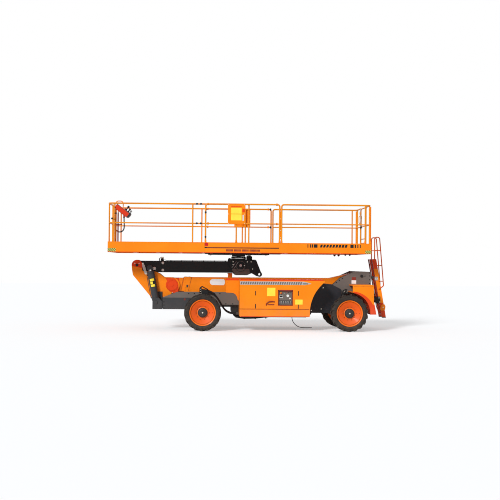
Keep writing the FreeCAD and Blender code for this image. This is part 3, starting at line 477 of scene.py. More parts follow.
# The slate grey low down at the tail end of the frame is painted shade.
FRAME_GREY_SHADED_TAIL = ZonedPaint("frame grey enamel", GREY.colour, "grey", 0.48, grime=0.2, second=SLATE.colour,
    cuts=((-1.0, 0.0, 0.0, 1.35), (0.0, 0.0, -1.0, -0.835)))
# Red orange on the hoods' top is painted shade from the platform above.
HOOD_ORANGE_SHADED_TOP = ZonedPaint("hood orange enamel", ORANGE.colour, "orange", 0.38, second=RED_ORANGE.colour,
    cuts=((0.0, 0.0, 1.0, 1.306),))
# Red orange over the gooseneck's upper part is painted shade.
NECK_ORANGE_SHADED_TOP = ZonedPaint("gooseneck orange enamel", ORANGE.colour, "orange", 0.38, second=RED_ORANGE.colour,
    cuts=((0.185, 0.0, 1.0, 1.078),))
# Red orange on the inner tube's end, in the recess between the gooseneck's plates, is painted shade.
FLY_ORANGE_SHADED_END = ZonedPaint("riser tube orange enamel", ORANGE.colour, "orange", 0.38, second=RED_ORANGE.colour,
    cuts=((-1.0, 0.0, 0.0, 1.86),))
# Red on the boom rest on top of the riser is painted shade.
RISER_ORANGE_SHADED_REST = ZonedPaint("riser orange enamel", ORANGE.colour, "orange", 0.38, second=RIM_RED.colour,
    cuts=((0.0, 0.0, 1.0, 1.405), (-1.0, 0.0, 0.0, 0.4)))
RAIL_ORANGE = Paint("rail enamel", (0.78, 0.262, 0.01), "orange", 0.4)
STAND_ORANGE = ZonedPaint("console stand enamel", ORANGE.colour, "orange", 0.4, second=(0.26, 0.012, 0.004),
    cuts=((1.0, 0.0, 0.0, -3.437), (0.0, 0.0, -1.0, -3.05)))
CONSOLE_RED = Paint("console enamel", (0.64, 0.036, 0.006), "red_orange", 0.4)
# Also the red side of the corner post that faces away from the light: painted shade.
GRAB_RED_AND_POST_SHADE = Paint("grab rail enamel", (0.6, 0.095, 0.006), "red_orange", 0.42)
# Red orange low on the end covers is painted shade.
COVER_ORANGE_SHADED_FOOT = ZonedPaint("end cover enamel", ORANGE.colour, "orange", 0.38, second=RED_ORANGE.colour,
    cuts=((0.0, 0.0, -1.0, -0.7),))
# The ladder is red orange as painted shade, except the lit middle of the near stringer, which is orange.
LADDER_SHADED_ORANGE = ZonedPaint("ladder orange enamel", RED_ORANGE.colour, "orange", 0.38, second=ORANGE.colour,
    cuts=((0.0, -1.0, 0.0, 0.215), (0.0, 0.0, -1.0, -1.63), (0.0, 0.0, 1.0, 0.72)))
HAZARD = HazardTape("hazard plate", (0.62, 0.66, 0.1), "orange", 0.5)


# ---------------------------------------- meshes
class Blank:
    """A mesh built up from simple forms, in the machine's own frame."""

    def __init__(self, name: str, side: Side | None = None) -> None:
        """Start an empty mesh with the piece's name, which may end in its side."""
        self.name = name + "_" + side.label if side else name
        self.form = bmesh.new()
        self.finishes: list[Finish] = []

    def _face(self, corners: Sequence[bmesh.types.BMVert], finish: Finish) -> None:
        """Add one face in a finish."""
        if finish not in self.finishes:
            self.finishes.append(finish)
        self.form.faces.new(corners).material_index = self.finishes.index(finish)

    def prism(self, ring: Sequence[Point], push: Point, finish: Finish) -> "Blank":
        """A flat outline pushed along a vector, from its first face to its last."""
        first = [self.form.verts.new(Vector(p)) for p in ring]
        last = [self.form.verts.new(Vector(p) + Vector(push)) for p in ring]
        self._face(first[::-1], finish)
        self._face(last, finish)
        for i, (a, b) in enumerate(zip(first, last)):
            j = (i + 1) % len(first)
            self._face([a, first[j], last[j], b], finish)
        return self

    def box(self, low: Point, high: Point, finish: Finish) -> "Blank":
        """A box between two corners, whose Y may come in either order."""
        (x0, ya, z0), (x1, yb, z1) = low, high
        y0, y1 = sorted((ya, yb))
        return self.prism([(x0, y0, z0), (x1, y0, z0), (x1, y1, z0), (x0, y1, z0)], (0, 0, z1 - z0), finish)

    def lathe(self, profile: Sequence[Pair], centre: Point, way: Point, finish: Finish,
            sides: int = 32) -> "Blank":
        """A solid of revolution.

        Args:
            profile: (radius, offset along the axis) points, from axis to axis, or round a ring's section.
            centre: Where the offsets start.
            way: The axis.
            finish: The solid's finish.
            sides: How many flats the turn has.

        Returns:
            The blank itself.
        """
        turn = Vector(way).to_track_quat("Z", "Y").to_matrix()
        rings = []
        for radius, offset in profile:
            ring = []
            for i in range(sides if radius > 0.0 else 1):
                angle = 2.0 * math.pi * i / sides
                point = Vector((radius * math.cos(angle), radius * math.sin(angle), offset))
                ring.append(self.form.verts.new(Vector(centre) + turn @ point))
            rings.append(ring)
        if profile[0][0] > 0.0:
            rings.append(rings[0])
        for below, above in zip(rings, rings[1:]):
            for i in range(sides):
                j = (i + 1) % sides
                if len(below) == 1:
                    self._face([below[0], above[j], above[i]], finish)
                elif len(above) == 1:
                    self._face([below[i], below[j], above[0]], finish)
                else:
                    self._face([below[i], below[j], above[j], above[i]], finish)
        return self

    def disc(self, centre: Point, way: Point, radius: float, height: float, finish: Finish,
            sides: int = 24) -> "Blank":
        """A low round plate with an eased rim."""
        ease = min(height, radius) * 0.3
        profile = [(0.0, 0.0), (radius, 0.0), (radius, height - ease), (radius - ease, height), (0.0, height)]
        return self.lathe(profile, centre, way, finish, sides)

    def panel(self, x: Pair, z: Pair, face: float, finish: Finish, proud: float = PROUD) -> "Blank":
        """A thin plate over a range of X and of Z, proud of an upright face at this Y."""
        way = math.copysign(1.0, face)
        return self.box((x[0], face - way * 0.0005, z[0]), (x[1], face + way * proud, z[1]), finish)

    def done(self, body: str, bevel: float = 0.0, smooth: float = 35.0) -> bpy.types.Object:
        """Finish the mesh as a piece of one body, as fit_piece does."""
        bmesh.ops.recalc_face_normals(self.form, faces=self.form.faces)
        mesh = bpy.data.meshes.new(self.name)
        self.form.to_mesh(mesh)
        self.form.free()
        return fit_piece(self.name, mesh, body, self.finishes, bevel, smooth)


def placed(name: str, data: bpy.types.ID) -> bpy.types.Object:
    """A new object of the scene, at the origin."""
    thing = bpy.data.objects.new(name, data)
    bpy.context.scene.collection.objects.link(thing)
    return thing


def fit_piece(name: str, mesh: bpy.types.Mesh, body: str, finishes: Sequence[Finish], bevel: float = 0.0,
        smooth: float = 35.0) -> bpy.types.Object:
    """Put a mesh into the scene as a piece of one body.

    Args:
        name: The piece's name.
        mesh: Its mesh, in the machine's own frame.
        body: The CAD body that it rides on.
        finishes: Its finishes, in the order of its material indices.
        bevel: Width of the bevel on its edges, or 0 for none.
        smooth: Edges sharper than this many degrees stay sharp.

    Returns:
        The piece.
    """
    if not mesh.materials:
        for finish in finishes:
            mesh.materials.append(finish.material())
    mesh.shade_smooth()
    mesh.set_sharp_from_angle(angle=math.radians(smooth))
    piece = placed(name, mesh)
    if bevel:
        modifier = piece.modifiers.new("eased edges", "BEVEL")
        modifier.width = bevel
        modifier.segments = 2
        modifier.limit_method = "ANGLE"
        modifier.angle_limit = math.radians(smooth)
        modifier.harden_normals = True
    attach(piece, body)
    log.info("%s rides on %s", name, body)
    return piece


def dress(node: str, finish: Finish) -> None:
    """Give a carried-over CAD node its finish."""
    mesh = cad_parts[node].data
    mesh.materials.clear()
    mesh.materials.append(finish.material())


# ---------------------------------------- geometry nodes
class Growth:
    """A Geometry Nodes tree with named inputs, run once on a seed mesh."""

    KINDS = {float: "NodeSocketFloat", int: "NodeSocketInt"}

    def __init__(self, name: str, inputs: dict[str, float | int], build: Callable[[Wiring, Sockets],
            Socket]) -> None:
        """Build the tree.

        Args:
            name: The tree's name.
            inputs: Input name to its usual value.
            build: Wires the tree from its inputs and returns the geometry, in instances or plain.
        """
        self.tree = bpy.data.node_groups.new(name, "GeometryNodeTree")
        face = self.tree.interface
        face.new_socket("Seed", in_out="INPUT", socket_type="NodeSocketGeometry")
        for label, usual in inputs.items():
            face.new_socket(label, in_out="INPUT", socket_type=self.KINDS[type(usual)]).default_value = usual
        face.new_socket("Finish", in_out="INPUT", socket_type="NodeSocketMaterial")
        face.new_socket("Grown", in_out="OUTPUT", socket_type="NodeSocketGeometry")
        wiring = Wiring(self.tree)
        entry, leave = wiring.add("NodeGroupInput"), wiring.add("NodeGroupOutput")
        shape = build(wiring, {socket.name: socket for socket in entry.outputs if socket.name})
        real = wiring.add("GeometryNodeRealizeInstances", {0: shape}).outputs[0]
        coated = wiring.add("GeometryNodeSetMaterial", {"Geometry": real, "Material": entry.outputs["Finish"]})
        wiring.feed(leave.inputs[0], coated.outputs[0])

    def grow(self, name: str, seed: bpy.types.Mesh, body: str, finish: Finish, bevel: float = 0.0,
            **values: float | int) -> bpy.types.Object:
        """Run the tree on a seed mesh and fit the plain result as a piece.

        Args:
            name: The piece's name.
            seed: Points or edges that the tree starts from.
            body: The CAD body that the piece rides on.
            finish: Its finish.
            bevel: Width of the bevel on its edges, or 0 for none.
            values: Input name to its value.

        Returns:
            The piece.
        """
        carrier = placed(name + "_seed", seed)
        modifier = carrier.modifiers.new("growth", "NODES")
        modifier.node_group = self.tree
        given = dict(values, Finish=finish.material())
        for item in self.tree.interface.items_tree:
            if item.item_type == "SOCKET" and item.in_out == "INPUT" and item.name in given:
                modifier[item.identifier] = given[item.name]
        carrier.update_tag()
        graph = bpy.context.evaluated_depsgraph_get()
        mesh = bpy.data.meshes.new_from_object(carrier.evaluated_get(graph))
        carrier.modifiers.remove(modifier)
        bpy.data.objects.remove(carrier)
        return fit_piece(name, mesh, body, [finish], bevel)


def points_mesh(places: Sequence[Place]) -> bpy.types.Mesh:
    """Loose points, each with the way that it faces as an attribute."""
    mesh = bpy.data.meshes.new("places")
    mesh.from_pydata([tuple(p) for p, _ in places], [], [])
    way = mesh.attributes.new("way", "FLOAT_VECTOR", "POINT")
    for item, (_, facing) in zip(way.data, places):
        item.vector = Vector(facing).normalized()
    return mesh


def route_mesh(routes: Sequence[Sequence[Point]]) -> bpy.types.Mesh:
    """Runs of edges, one for each route."""
    mesh = bpy.data.meshes.new("routes")
    points, edges = [], []
    for route in routes:
        edges += [(len(points) + i, len(points) + i + 1) for i in range(len(route) - 1)]
        points += [tuple(p) for p in route]
    mesh.from_pydata(points, edges, [])
    return mesh


@functools.cache
def bolts() -> Growth:
    """Hexagon heads on washers, one at each point, facing along the point's own way."""
    def build(wiring: Wiring, given: Sockets) -> Socket:
        radius, height = given["Radius"], given["Height"]
        flat = {"Vertices": 14, "Radius": wiring.times(radius, 1.35), "Depth": wiring.times(height, 0.3)}
        washer = wiring.add("GeometryNodeMeshCylinder", flat).outputs[0]
        head = wiring.add("GeometryNodeMeshCylinder", {"Vertices": 6, "Radius": radius,
            "Depth": height}).outputs[0]
        up = wiring.add("ShaderNodeCombineXYZ", {2: wiring.times(height, 0.5)}).outputs[0]
        head = wiring.add("GeometryNodeTransform", {"Geometry": head, "Translation": up}).outputs[0]
        both = wiring.add("GeometryNodeJoinGeometry", {0: head})
        wiring.feed(both.inputs[0], washer)
        facing = wiring.add("GeometryNodeInputNamedAttribute", {"Name": "way"}, data_type="FLOAT_VECTOR")
        turn = wiring.add("FunctionNodeAlignRotationToVector", {"Vector": facing.outputs[0]}, axis="Z")
        feeds = {"Points": given["Seed"], "Instance": both.outputs[0], "Rotation": turn.outputs[0]}
        return wiring.add("GeometryNodeInstanceOnPoints", feeds).outputs[0]
    return Growth("bolt heads", {"Radius": 0.012, "Height": 0.009}, build)


@functools.cache
def pipes() -> Growth:
    """Round bars or hoses along routes, with rounded corners."""
    def build(wiring: Wiring, given: Sockets) -> Socket:
        line = wiring.add("GeometryNodeMeshToCurve", {0: given["Seed"]}).outputs[0]
        feeds = {"Curve": line, "Radius": given["Bend"], "Limit Radius": True, "Count": 6}
        eased = wiring.add("GeometryNodeFilletCurve", feeds, mode="POLY").outputs[0]
        ring = wiring.add("GeometryNodeCurvePrimitiveCircle", {"Resolution": given["Sides"],
            "Radius": given["Radius"]}, mode="RADIUS")
        feeds = {"Curve": eased, "Profile Curve": ring.outputs[0], "Fill Caps": True}
        return wiring.add("GeometryNodeCurveToMesh", feeds).outputs[0]
    return Growth("bent pipes", {"Radius": 0.008, "Bend": 0.03, "Sides": 12}, build)


@functools.cache
def slats() -> Growth:
    """A row of equal bars along +Z or any step, from one corner point."""
    def build(wiring: Wiring, given: Sockets) -> Socket:
        size = wiring.add("ShaderNodeCombineXYZ", {0: given["Length"], 1: given["Depth"], 2: given["Thick"]})
        bar = wiring.add("GeometryNodeMeshCube", {"Size": size.outputs[0]}).outputs[0]
        lean = wiring.add("ShaderNodeCombineXYZ", {0: given["Lean"]}).outputs[0]
        turn = wiring.add("FunctionNodeEulerToRotation", {0: lean}).outputs[0]
        step = wiring.add("ShaderNodeCombineXYZ", {0: given["Step_X"], 2: given["Step_Z"]}).outputs[0]
        row = wiring.add("GeometryNodeMeshLine", {"Count": given["Count"], "Offset": step},
            mode="OFFSET").outputs[0]
        bars = wiring.add("GeometryNodeInstanceOnPoints", {"Points": row, "Instance": bar, "Rotation": turn})
        feeds = {"Points": given["Seed"], "Instance": bars.outputs[0]}
        return wiring.add("GeometryNodeInstanceOnPoints", feeds).outputs[0]
    usual = {"Length": 0.5, "Depth": 0.02, "Thick": 0.004, "Lean": 0.0, "Step_X": 0.0, "Step_Z": 0.03,
        "Count": 8}
    return Growth("slats", usual, build)


def bolt(name: str, places: Sequence[Place], body: str, finish: Finish, radius: float, height: float,
        bevel: float = 0.0) -> None:
    """Grow one piece of equal bolt heads on a body, one at each place."""
    bolts().grow(name, points_mesh(places), body, finish, bevel, Radius=radius, Height=height)


def pipe(name: str, routes: Sequence[Sequence[Point]], body: str, finish: Finish, radius: float, bend: float,
        sides: int) -> None:
    """Grow one piece of equal pipes on a body, one along each route."""
    pipes().grow(name, route_mesh(routes), body, finish, Radius=radius, Bend=bend, Sides=sides)


def ring_places(centre: Point, way: Point, radius: float, count: int, start: float = 0.0) -> list[Place]:
    """Evenly spaced places on a circle round an axis, facing along it.

    Args:
        centre: The circle's middle.
        way: Its axis.
        radius: Its radius.
        count: How many places.
        start: Angle of the first, in degrees.

    Returns:
        A (point, facing) pair for each place.
    """
    turn = Vector(way).to_track_quat("Z", "Y").to_matrix()
    places = []
    for i in range(count):
        angle = math.radians(start) + 2.0 * math.pi * i / count
        spoke = turn @ Vector((math.cos(angle), math.sin(angle), 0.0))
        places.append((Vector(centre) + spoke * radius, way))
    return places


# ---------------------------------------- wheels
STEERING_HOSE_Y = (0.49, 0.525, 0.56)       # distance of each steering hose from the middle of the machine


@dataclass(frozen=True)
class Wheel:
    """Hub, nuts, valve and sidewall ribs of one wheel."""

    name: str
    centre: Vector
    side: Side
    hub: tuple[Pair, ...] = ((0, 0.056), (0.1245, 0.056), (0.1245, 0.0925), (0.0975, 0.1195), (0.079, 0.13),
        (0.052, 0.13), (0.048, 0.136), (0, 0.136))
    dish: tuple[Pair, ...] = ((0.15, 0.0545), (0.2955, 0.1235), (0.2955, 0.1255), (0.15, 0.0565))
    cap_radius: float = 0.034
    nut_circle: float = 0.172
    ribs: tuple[Pair, ...] = ((0.362, 0.165), (0.398, 0.1755), (0.412, 0.1735))

    def at(self, offset: float) -> Vector:
        """The point on the wheel's axis at an offset outwards."""
        return self.centre + self.side.way * offset

    def build(self) -> None:
        """Build the wheel's pieces on its body."""
        body, way = "wheel_" + self.name, self.side.way
        hub = Blank("hub_" + self.name).lathe(self.hub, self.centre, way, IRON, 40)
        hub.disc(self.at(0.135), way, self.cap_radius, 0.01, BLACK)
        hub.lathe([(0, 0), (0.021, 0), (0.019, 0.006), (0, 0.009)], self.at(0.145), way, ZINC, 20)
        hub.done(body, 0.0015)
        # The dish is a darker red than the rim as painted shade.
        dish = Blank("dish_" + self.name).lathe(self.dish, self.centre, way, DISH_SHADED_RED, 72)
        dish.done(body)
        places = ring_places(self.at(0.13), way, 0.0655, 10)
        places += ring_places(self.at(0.106), way, 0.113, 12, 15.0)
        bolt("hub_bolts_" + self.name, places, body, BLACK, 0.006, 0.006)
        nuts = ring_places(self.at(0.062), way, self.nut_circle, 10)
        bolt("wheel_nuts_" + self.name, nuts, body, RIM_RED, 0.014, 0.02, 0.001)
        studs = ring_places(self.at(0.081), way, self.nut_circle, 10)
        bolt("wheel_studs_" + self.name, studs, body, IRON, 0.0065, 0.008)
        valve = self.centre + Vector((0.262, 0, 0))
        route = [valve + way * 0.106, valve + way * 0.122, valve + way * 0.134 - Vector((0.01, 0, 0))]
        pipe("valve_" + self.name, [route], body, CABLE, 0.005, 0.02, 10)
        ribs = Blank("sidewall_ribs_" + self.name)
        for radius, offset in self.ribs:
            ribs.lathe([(radius, offset), (radius + 0.006, offset), (radius + 0.005, offset + 0.0025),
                (radius + 0.001, offset + 0.0025)], self.centre, way, TYRE, 72)
        ribs.done(body)


# ---------------------------------------- chassis
@dataclass(frozen=True)
class Chassis:
    """Plates, bolts, pins and lines on the frame and its axles."""

    face: float = 0.455
    pivot: Pair = (2.97, 1.438)
    ear_label: Limits = (2.705, 2.829, 1.233, 1.405)

    def build(self) -> None:
        """Build the frame's pieces."""
        for side in Side:
            self.build_pivot(side)
            self.build_labels(side)
            self.build_shoulder(side)
            self.build_edging(side)
        self.build_bolts()
        self.build_drive()
        self.build_hose_bracket()
        self.build_lines()
        self.build_tray_edges()
        self.build_belly()

    def build_pivot(self, side: Side) -> None:
        """The riser's pin end and keeper plate."""
        x, z = self.pivot
        centre = side.at(x, self.face, z)
        cap = Blank("riser_pin_cap", side)
        cap.disc(centre + side.way * 0.0245, side.way, 0.037, 0.006, BLACK)
        cap.box((x + 0.036, centre.y, z - 0.016), (x + 0.105, centre.y + side.value * 0.01, z + 0.016), GREY)
        cap.done("chassis", 0.002)
        places = side.spots(self.face + 0.01, [(x + 0.088, z)])
        bolt("riser_pin_bolt_" + side.label, places, "chassis", IRON, 0.009, 0.007)

    def build_labels(self, side: Side) -> None:
        """Blank plates on the ear and on the tail."""
        face = side.value * self.face
        x0, x1, z0, z1 = self.ear_label
        plates = Blank("frame_plates", side)
        plates.panel((x0, x1), (z0, z1 - 0.083), face, WHITE)
        plates.panel((x0 + 0.008, x1 - 0.008), (z1 - 0.08, z1), face, BROWN)
        plates.panel((-1.725, -1.685), (0.765, 0.815), face, BROWN)
        plates.done("chassis", 0.0004)

    def build_shoulder(self, side: Side) -> None:
        """The fixed orange shoulder panel between the hood and the riser, with a red orange top edge that is
        painted shade.
        """
        y = self.face + 0.0005
        panel = [(-0.275, 0.76), (-0.308, 0.78), (-0.33, 0.87), (-0.375, 0.935), (-0.44, 0.97), (-0.62, 0.975),
            (-0.632, 1.3), (-0.275, 1.3)]
        edge = [(-0.275, 1.3), (-0.632, 1.3), (-0.625, 1.352), (-0.275, 1.352)]
        shoulder = Blank("shoulder", side)
        shoulder.prism(side.outline(y, panel), side.way * 0.008, ORANGE)
        # The red orange top edge is painted shade, in line with the hoods' top.
        shoulder.prism(side.outline(y, edge), side.way * 0.012, RED_ORANGE)
        shoulder.done("chassis", 0.002)
        places = side.spots(self.face + 0.0085, ((-0.59, 1.02), (-0.59, 1.25)))
        bolt("shoulder_bolts_" + side.label, places, "chassis", ORANGE, 0.009, 0.006)

    def build_edging(self, side: Side) -> None:
        """The black edge along the top of an ear."""
        line = [(2.177, 1.195), (2.388, 1.382), (2.785, 1.562)]
        edge = Blank("ear_edging", side)
        for (xa, za), (xb, zb) in zip(line, line[1:]):
            ring = [(xa, za - 0.001), (xb, zb - 0.001), (xb, zb + 0.007), (xa, za + 0.007)]
            edge.prism(side.outline(self.face - 0.022, ring), side.way * 0.03, BLACK)
        edge.done("chassis", 0.001)

    def build_bolts(self) -> None:
        """Bolts through the side plates, for the cross members and brackets."""
        spots = [(-2.25, z) for z in (0.56, 0.64, 0.72)] + [(-0.99, z) for z in (0.66, 0.75, 0.84)]
        spots += [(x, 0.945) for x in (-1.6, -1.45, -0.92, -0.78)] + [(-0.62, 0.68), (-0.44, 0.68)]
        spots += [(3.19, z) for z in (1.24, 1.34, 1.44, 1.52)] + [(2.3, 1.26), (2.38, 1.32), (2.46, 1.37)]
        places = [place for side in Side for place in side.spots(self.face, spots)]
        bolt("frame_bolts", places, "chassis", BLACK, 0.012, 0.009, 0.0006)
        lugs = []
        for y in (-0.25, 0.25):
            lugs += [(Vector((-1.145, y + step, 0.511)), UP) for step in (-0.012, 0.012)]
        bolt("steering_clamp_bolts", lugs, "chassis", ZINC, 0.006, 0.006)

    def build_drive(self) -> None:
        """Drive motor, its flanges and lines behind the drive axle, and the axle's end flanges."""
        centre = Vector((2.56, 0, 0.455))
        motor = Blank("drive_motor")
        back = Vector((-1.0, 0, 0))
        motor.lathe([(0, 0.1), (0.085, 0.1), (0.085, 0.185), (0.07, 0.19), (0.07, 0.3), (0.058, 0.315),
            (0.058, 0.4), (0.04, 0.412), (0, 0.412)], centre, back, IRON, 36)
        for side in Side:
            motor.lathe([(0.12, 0), (0.138, 0), (0.138, 0.022), (0.12, 0.022)],
                side.at(2.56, 0.7, 0.475), side.way, IRON, 40)
        motor.done("chassis", 0.002)
        places = ring_places(centre + back * 0.185, back, 0.077, 8)
        for side in Side:
            places += ring_places((2.56, side.value * 0.722, 0.475), side.way, 0.129, 12)
        bolt("drive_bolts", places, "chassis", ZINC, 0.008, 0.007)
        lines = [[(2.3, y, 0.52), (2.3, y, 0.6), (2.22, y, 0.66), (2.02, y, 0.7), (1.7, y, 0.72)]
            for y in (-0.045, 0, 0.045)]
        pipe("drive_lines", lines, "chassis", CABLE, 0.013, 0.05, 12)

    def build_hose_bracket(self) -> None:
        """Elbows and nuts where the steering hoses leave their bracket and enter the tray."""
        fittings = Blank("steering_hose_fittings")
        nuts = []
        for y in STEERING_HOSE_Y:
            drop = (STEERING_HOSE_Y[1] - y) * 0.4
            for start, way in (((-1.25, -y, 1.03 + drop), (1, 0, 0)), ((-0.282, -y, 0.43 + drop), (-1, 0, 0))):
                fittings.lathe([(0.0151, 0), (0.0205, 0), (0.0205, 0.03), (0.0185, 0.034), (0.0185, 0.07),
                    (0.0151, 0.074)], Vector(start), way, IRON, 20)
                nuts.append((Vector(start) - Vector(way) * 0.062 if way[0] > 0 else Vector(start), way))
        fittings.done("chassis", 0.0008)
        block = Blank("steering_valve")
        block.box((-1.318, -0.58, 0.958), (-1.262, -0.462, 1.1), BLACK)
        block.box((-1.305, -0.56, 1.1), (-1.257, -0.5, 1.118), IRON)
        for z in (1.0, 1.06):
            block.disc((-1.29, -0.58, z), Side.NEAR.way, 0.013, 0.01, ZINC, 18)
        block.box((-1.255, -0.59, 0.915), (-1.085, -0.575, 1.02), BLACK)
        block.done("chassis", 0.004)
        elbows = [[(-1.281, -y, 1.07), (-1.281, -y, 1.125), (-1.24, -y, 1.13), (-1.17, -y, 1.09),
            (-1.09, -y, 1.05)] for y in (0.515, 0.545)]
        pipe("steering_elbows", elbows, "chassis", CABLE, 0.013, 0.03, 14)
        ring = [place for place in nuts if place[1][0] > 0]
        bolt("steering_hose_nuts", ring, "chassis", IRON, 0.019, 0.014)

    def build_lines(self) -> None:
        """Clipped lines low on the frame and under the belly pan, and what stands over the drive axle."""
        for side in Side:
            way = side.value
            low = [[(-0.72, way * 0.464, z), (-0.29, way * 0.464, z)] for z in (0.616, 0.645)]
            pipe("clipped_lines_" + side.label, low, "chassis", CABLE, 0.01, 0.03, 12)
            under = [[(-0.425, way * y, 0.395), (-0.35, way * y, z + 0.03), (-0.13, way * y, z),
                (0.16, way * y, z * 0.5 + 0.155), (0.44, way * y, 0.334), (0.64, way * y, 0.36)]
                for y, z in ((0.388, 0.296), (0.42, 0.314), (0.452, 0.332))]
            pipe("belly_lines_" + side.label, under, "chassis", CABLE, 0.0145, 0.05, 12)
            clips = Blank("belly_clips", side)
            for x, z in ((-0.13, 0.3), (0.16, 0.306), (0.44, 0.318)):
                clips.box((x - 0.012, way * 0.368, z - 0.022), (x + 0.012, way * 0.471, 0.35), BLACK)
            clips.done("chassis", 0.002)
            loops = [[(x, way * y, 0.905), (x + 0.02, way * y, z), (2.545, way * y, z + 0.045),
                (2.6, way * y, z), (2.618, way * (y - 0.06), 0.93)]
                for x, y, z in ((2.44, 0.56, 1.045), (2.475, 0.62, 1.0))]
            pipe("brake_lines_" + side.label, loops, "chassis", CABLE, 0.012, 0.04, 12)
            fittings = Blank("brake_fittings", side)
            fittings.box((2.45, way * 0.4545, 0.975), (2.625, way * 0.66, 0.985), BLACK)
            fittings.box((2.485, way * 0.52, 0.985), (2.56, way * 0.6, 1.06), IRON)
            for x, z in ((2.505, 1.035), (2.545, 1.01)):
                fittings.disc((x, way * 0.6, z), side.way, 0.013, 0.014, ZINC, 20)
            fittings.disc((2.595, way * 0.57, 0.985), UP, 0.024, 0.07, ZINC, 28)
            fittings.done("chassis", 0.002)

    def build_tray_edges(self) -> None:
        """Folded lips along the top and the bottom of the side trays; the bottom one is red orange as painted
        shade.
        """
        low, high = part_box("side_trays")
        lips = Blank("tray_lips")
        for side in Side:
            face = side.value * high.y
            lips.panel((low.x + 0.005, high.x - 0.03), (high.z - 0.011, high.z - 0.002), face, BROWN, 0.001)
            # Red orange along the trays' bottom edge is painted shade.
            lips.panel((low.x + 0.03, high.x - 0.03), (low.z + 0.001, low.z + 0.016), face, RED_ORANGE, 0.001)
        lips.done("chassis")

    def build_belly(self) -> None:
        """Ribs pressed into the belly pan and the strap's stud."""
        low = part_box("belly_pan")[0].z
        seed = points_mesh([((-0.1, 0, low + 0.001), UP)])
        slats().grow("belly_ribs", seed, "chassis", BLACK, 0.002, Length=0.03, Depth=0.7, Thick=0.008,
            Step_X=0.26, Step_Z=0, Count=6)
        bolt("strap_stud", [((1.2, 0.4, low), (0, 0, -1))], "chassis", ZINC, 0.016, 0.01)


